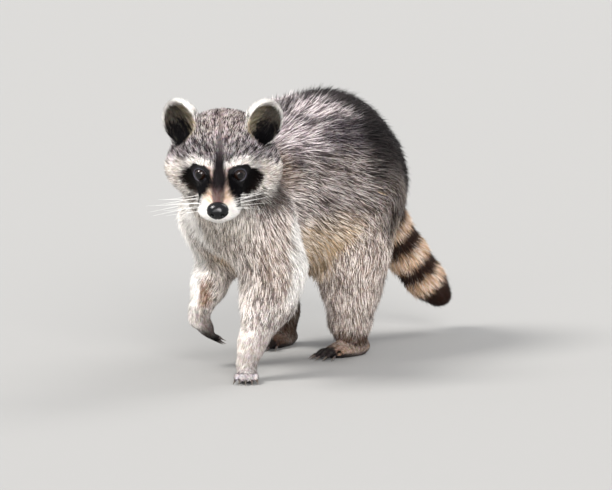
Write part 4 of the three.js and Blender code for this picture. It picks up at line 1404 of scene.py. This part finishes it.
def claw_pattern():
    """A cone with rings along it, its point up, that each claw is bent from."""
    at = (0, 0, 0.5)
    bpy.ops.mesh.primitive_cone_add(vertices=12, radius1=1, radius2=CLAW["point"], depth=1, location=at)
    pattern = bpy.context.object
    bpy.ops.object.transform_apply(location=True)
    bpy.ops.object.mode_set(mode="EDIT")
    bpy.ops.mesh.select_all(action="SELECT")
    bpy.ops.mesh.subdivide(number_cuts=4)
    bpy.ops.object.mode_set(mode="OBJECT")
    return pattern


def claw_points(name, i, shape):
    """The pattern's points bent down and placed at a toe's tip."""
    across, up, along = shape.T
    axes = paw_axes(name)
    _, knuckle, tip = toe_points(name, i)
    heading = unit(flat_on(axes[None, :, 2], (tip - knuckle)[None])[0])
    side = np.cross(axes[:, 2], heading)
    forward = CLAW["length"] * along
    drop = math.tan(math.radians(CLAW["dip"])) * forward * (0.35 + 0.65 * along)
    radius = CLAW["radius"] * (1 - CLAW["taper"] * along)
    start = tip - heading * CLAW_ROOT["back"] + axes[:, 2] * CLAW_ROOT["up"]
    upward = radius * CLAW["tall"] * up - drop
    q = start + np.outer(forward, heading) + np.outer(radius * across, side) + np.outer(upward, axes[:, 2])
    q[:, 2] = np.maximum(q[:, 2], CLAW_GAP)
    return q


def make_claws():
    """A curved, pointed claw for each toe, each with its own copy of the pattern's mesh."""
    pattern = claw_pattern()
    shape = points_of(pattern) * MM
    claws = []
    for name in PAWS:
        for i in range(5):
            claw = pattern.copy()
            claw.data = pattern.data.copy()
            bpy.context.collection.objects.link(claw)
            set_points(claw, claw_points(name, i, shape))
            paint(claw, mix(*CLAW_HORN, shape[:, 2]))
            claw.data.shade_smooth()
            claws.append(claw)
    bpy.data.objects.remove(pattern)
    settle(joined(claws, "claws"), claw_finish, "paw")


# Whiskers on each side: rows on the lips, and a few above the eye. Root, direction, length and number.
WHISKERS = (
    {"from": (34, 13, -20), "to": (14, 21, -19), "way": (0.25, 1, 0.06), "length": 58, "count": 3},
    {"from": (35, 13, -24), "to": (13, 22.5, -24), "way": (0.2, 1, -0.06), "length": 66, "count": 4},
    {"from": (34, 12.5, -28), "to": (12, 22, -29), "way": (0.15, 1, -0.2), "length": 60, "count": 3},
    {"from": (-4, 22, 16), "to": (-9, 28, 15), "way": (0.5, 0.8, 0.8), "length": 20, "count": 2},
)
SWEEP = {1: (0.65, 0.75), -1: (0.05, 1)}  # how far each side's whiskers are laid back, and how long they are
WHISKER = {"radius": 0.21, "taper": 0.85, "sides": 4, "rings": 9, "back": 0.45, "droop": 0.2, "rooted": 2.0}


def rod_triangles(sides, rings):
    """Triangles of a closed rod of rings of points, each ring with as many points as the rod has sides."""
    last = (rings - 1) * sides
    triangles = [(k + 1, 0, k) for k in range(1, sides - 1)]
    triangles += [(last, last + k + 1, last + k) for k in range(1, sides - 1)]
    for ring in range(rings - 1):
        for k in range(sides):
            a, b = ring * sides + k, ring * sides + (k + 1) % sides
            triangles += [(a, b + sides, b), (a, a + sides, b + sides)]
    return np.array(triangles)


def whisker(root, way, length):
    """A thin tapered rod that curves back and droops: its points and triangles."""
    sides, rings = WHISKER["sides"], WHISKER["rings"]
    across = unit(np.cross(way, HEAD_AXES[:, 2]))
    over = unit(np.cross(across, way))
    bend = -HEAD_AXES[:, 0] * WHISKER["back"] - np.array((0, 0, WHISKER["droop"]))
    points = []
    for t in np.linspace(0, 1, rings):
        middle = root + length * (unit(way) * t + bend * t**2)
        radius = WHISKER["radius"] * (1 - WHISKER["taper"] * t)
        for a in np.arange(sides) * 2 * math.pi / sides:
            points.append(middle + radius * (math.cos(a) * across + math.sin(a) * over))
    return np.array(points), rod_triangles(sides, rings)


def place_whisker(row, side, t):
    """A whisker of a row on one side of the face, t from 0 to 1 along the row, each a little different."""
    start, end = np.array(row["from"], float), np.array(row["to"], float)
    spot = mix(start, end, t) + draw.normal(0, 0.5, 3)
    root = on_head(spot[0], side * spot[1], spot[2])
    root = drawn_onto(outline, root[None], 3, -WHISKER["rooted"])[0]
    swept, share = SWEEP[side]
    way = np.array(row["way"]) + draw.normal(0, 0.1, 3) - (swept, 0, 0)
    way = HEAD_AXES @ (way * np.array((1, side, 1)))
    length = row["length"] * share * (0.7 + 0.3 * math.sin(math.pi * t) * draw.uniform(0.6, 1))
    return whisker(root, way, length)


def make_whiskers():
    parts = [place_whisker(row, side, t) for side in SIDES.values() for row in WHISKERS
             for t in np.linspace(0, 1, row["count"])]
    obj, _ = gathered_mesh("whiskers", parts)
    paint(obj, np.tile(WHISKER_WHITE, (len(obj.data.vertices), 1)))
    settle(obj, whisker_finish, "face")


# ---------------------------------------------------------------- the camera, the floor and the light


IMAGE = (612, 490)
CAMERA = {"around": 30, "above": 7, "away": 4.6, "focal": 4147.0}  # degrees, metres and pixels of the image
AIM = {"at": (135, 45, 0), "pixel": (245, 381)}  # where the left forepaw is, on the floor and in the image
FLOOR = {"size": 80, "colour": (0.27, 0.267, 0.26, 1), "roughness": 0.9}
WORLD = {"colour": (0.86, 0.88, 0.92, 1), "strength": 0.85}


def make_camera():
    """Low, from the animal's front left, far off with a long lens, its paw at its place in the image."""
    around, above = math.radians(CAMERA["around"]), math.radians(CAMERA["above"])
    back = Vector((math.cos(around) * math.cos(above), math.sin(around) * math.cos(above), math.sin(above)))
    right = Vector((-math.sin(around), math.cos(around), 0))
    up = back.cross(right)
    column, row = AIM["pixel"][0] - IMAGE[0] / 2, AIM["pixel"][1] - IMAGE[1] / 2
    pixel = CAMERA["away"] / CAMERA["focal"]
    data = bpy.data.cameras.new("camera")
    camera = bpy.data.objects.new("camera", data)
    bpy.context.collection.objects.link(camera)
    data.sensor_width = 36
    data.lens = CAMERA["focal"] / IMAGE[0] * data.sensor_width
    data.clip_end = 200
    paw_at = Vector(np.array(AIM["at"]) + STAND) * MM
    camera.location = paw_at + back * CAMERA["away"] - right * (column * pixel) + up * (row * pixel)
    camera.rotation_euler = back.to_track_quat("Z", "Y").to_euler()
    bpy.context.scene.camera = camera


def make_floor():
    bpy.ops.mesh.primitive_plane_add(size=FLOOR["size"], location=(0, 0, 0))
    floor = bpy.context.object
    floor.name = "floor"
    made = bpy.data.materials.new("floor_paint")
    made.use_nodes = True
    shader = made.node_tree.nodes["Principled BSDF"]
    shader.inputs["Base Color"].default_value = FLOOR["colour"]
    shader.inputs["Roughness"].default_value = FLOOR["roughness"]
    floor.data.materials.append(made)
    floor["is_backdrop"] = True


# Soft lights a long way off: the way to each, its spread in degrees, its strength and its colour.
LIGHTS = {
    "key": ((0.75, -0.6, 1.1), 22, 3.9, (1, 0.98, 0.95)),
    "front": ((1.0, 0.85, 0.6), 28, 3.1, (1, 0.98, 0.97)),
    "fill": ((1.0, 0.35, 0.05), 50, 2.2, (1, 0.98, 0.96)),
    "rim": ((-0.9, 0.3, 0.9), 30, 1.3, (1, 0.98, 0.96)),
}


def make_light():
    world = bpy.data.worlds.new("studio")
    bpy.context.scene.world = world
    world.use_nodes = True
    background = world.node_tree.nodes["Background"]
    background.inputs["Color"].default_value = WORLD["colour"]
    background.inputs["Strength"].default_value = WORLD["strength"]
    for name, (way, spread, strength, colour) in LIGHTS.items():
        data = bpy.data.lights.new(name, "SUN")
        data.angle, data.energy, data.color = math.radians(spread), strength, colour
        light = bpy.data.objects.new(name, data)
        bpy.context.collection.objects.link(light)
        light.rotation_euler = Vector(way).to_track_quat("Z", "Y").to_euler()
    bpy.context.scene.view_settings.view_transform = "Standard"


# ---------------------------------------------------------------- the model


def write_sizes():
    boxes = {"cad": cad_box, "visual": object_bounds()}
    plain = {name: [list(corner) for corner in box] for name, box in boxes.items()}


make_coat(make_skin())
for (name, side), centre in zip(SIDES.items(), EYE_CENTRES):
    make_eye(name, side, centre)
make_nose()
make_claws()
make_whiskers()
make_camera()
make_floor()
make_light()
write_sizes()
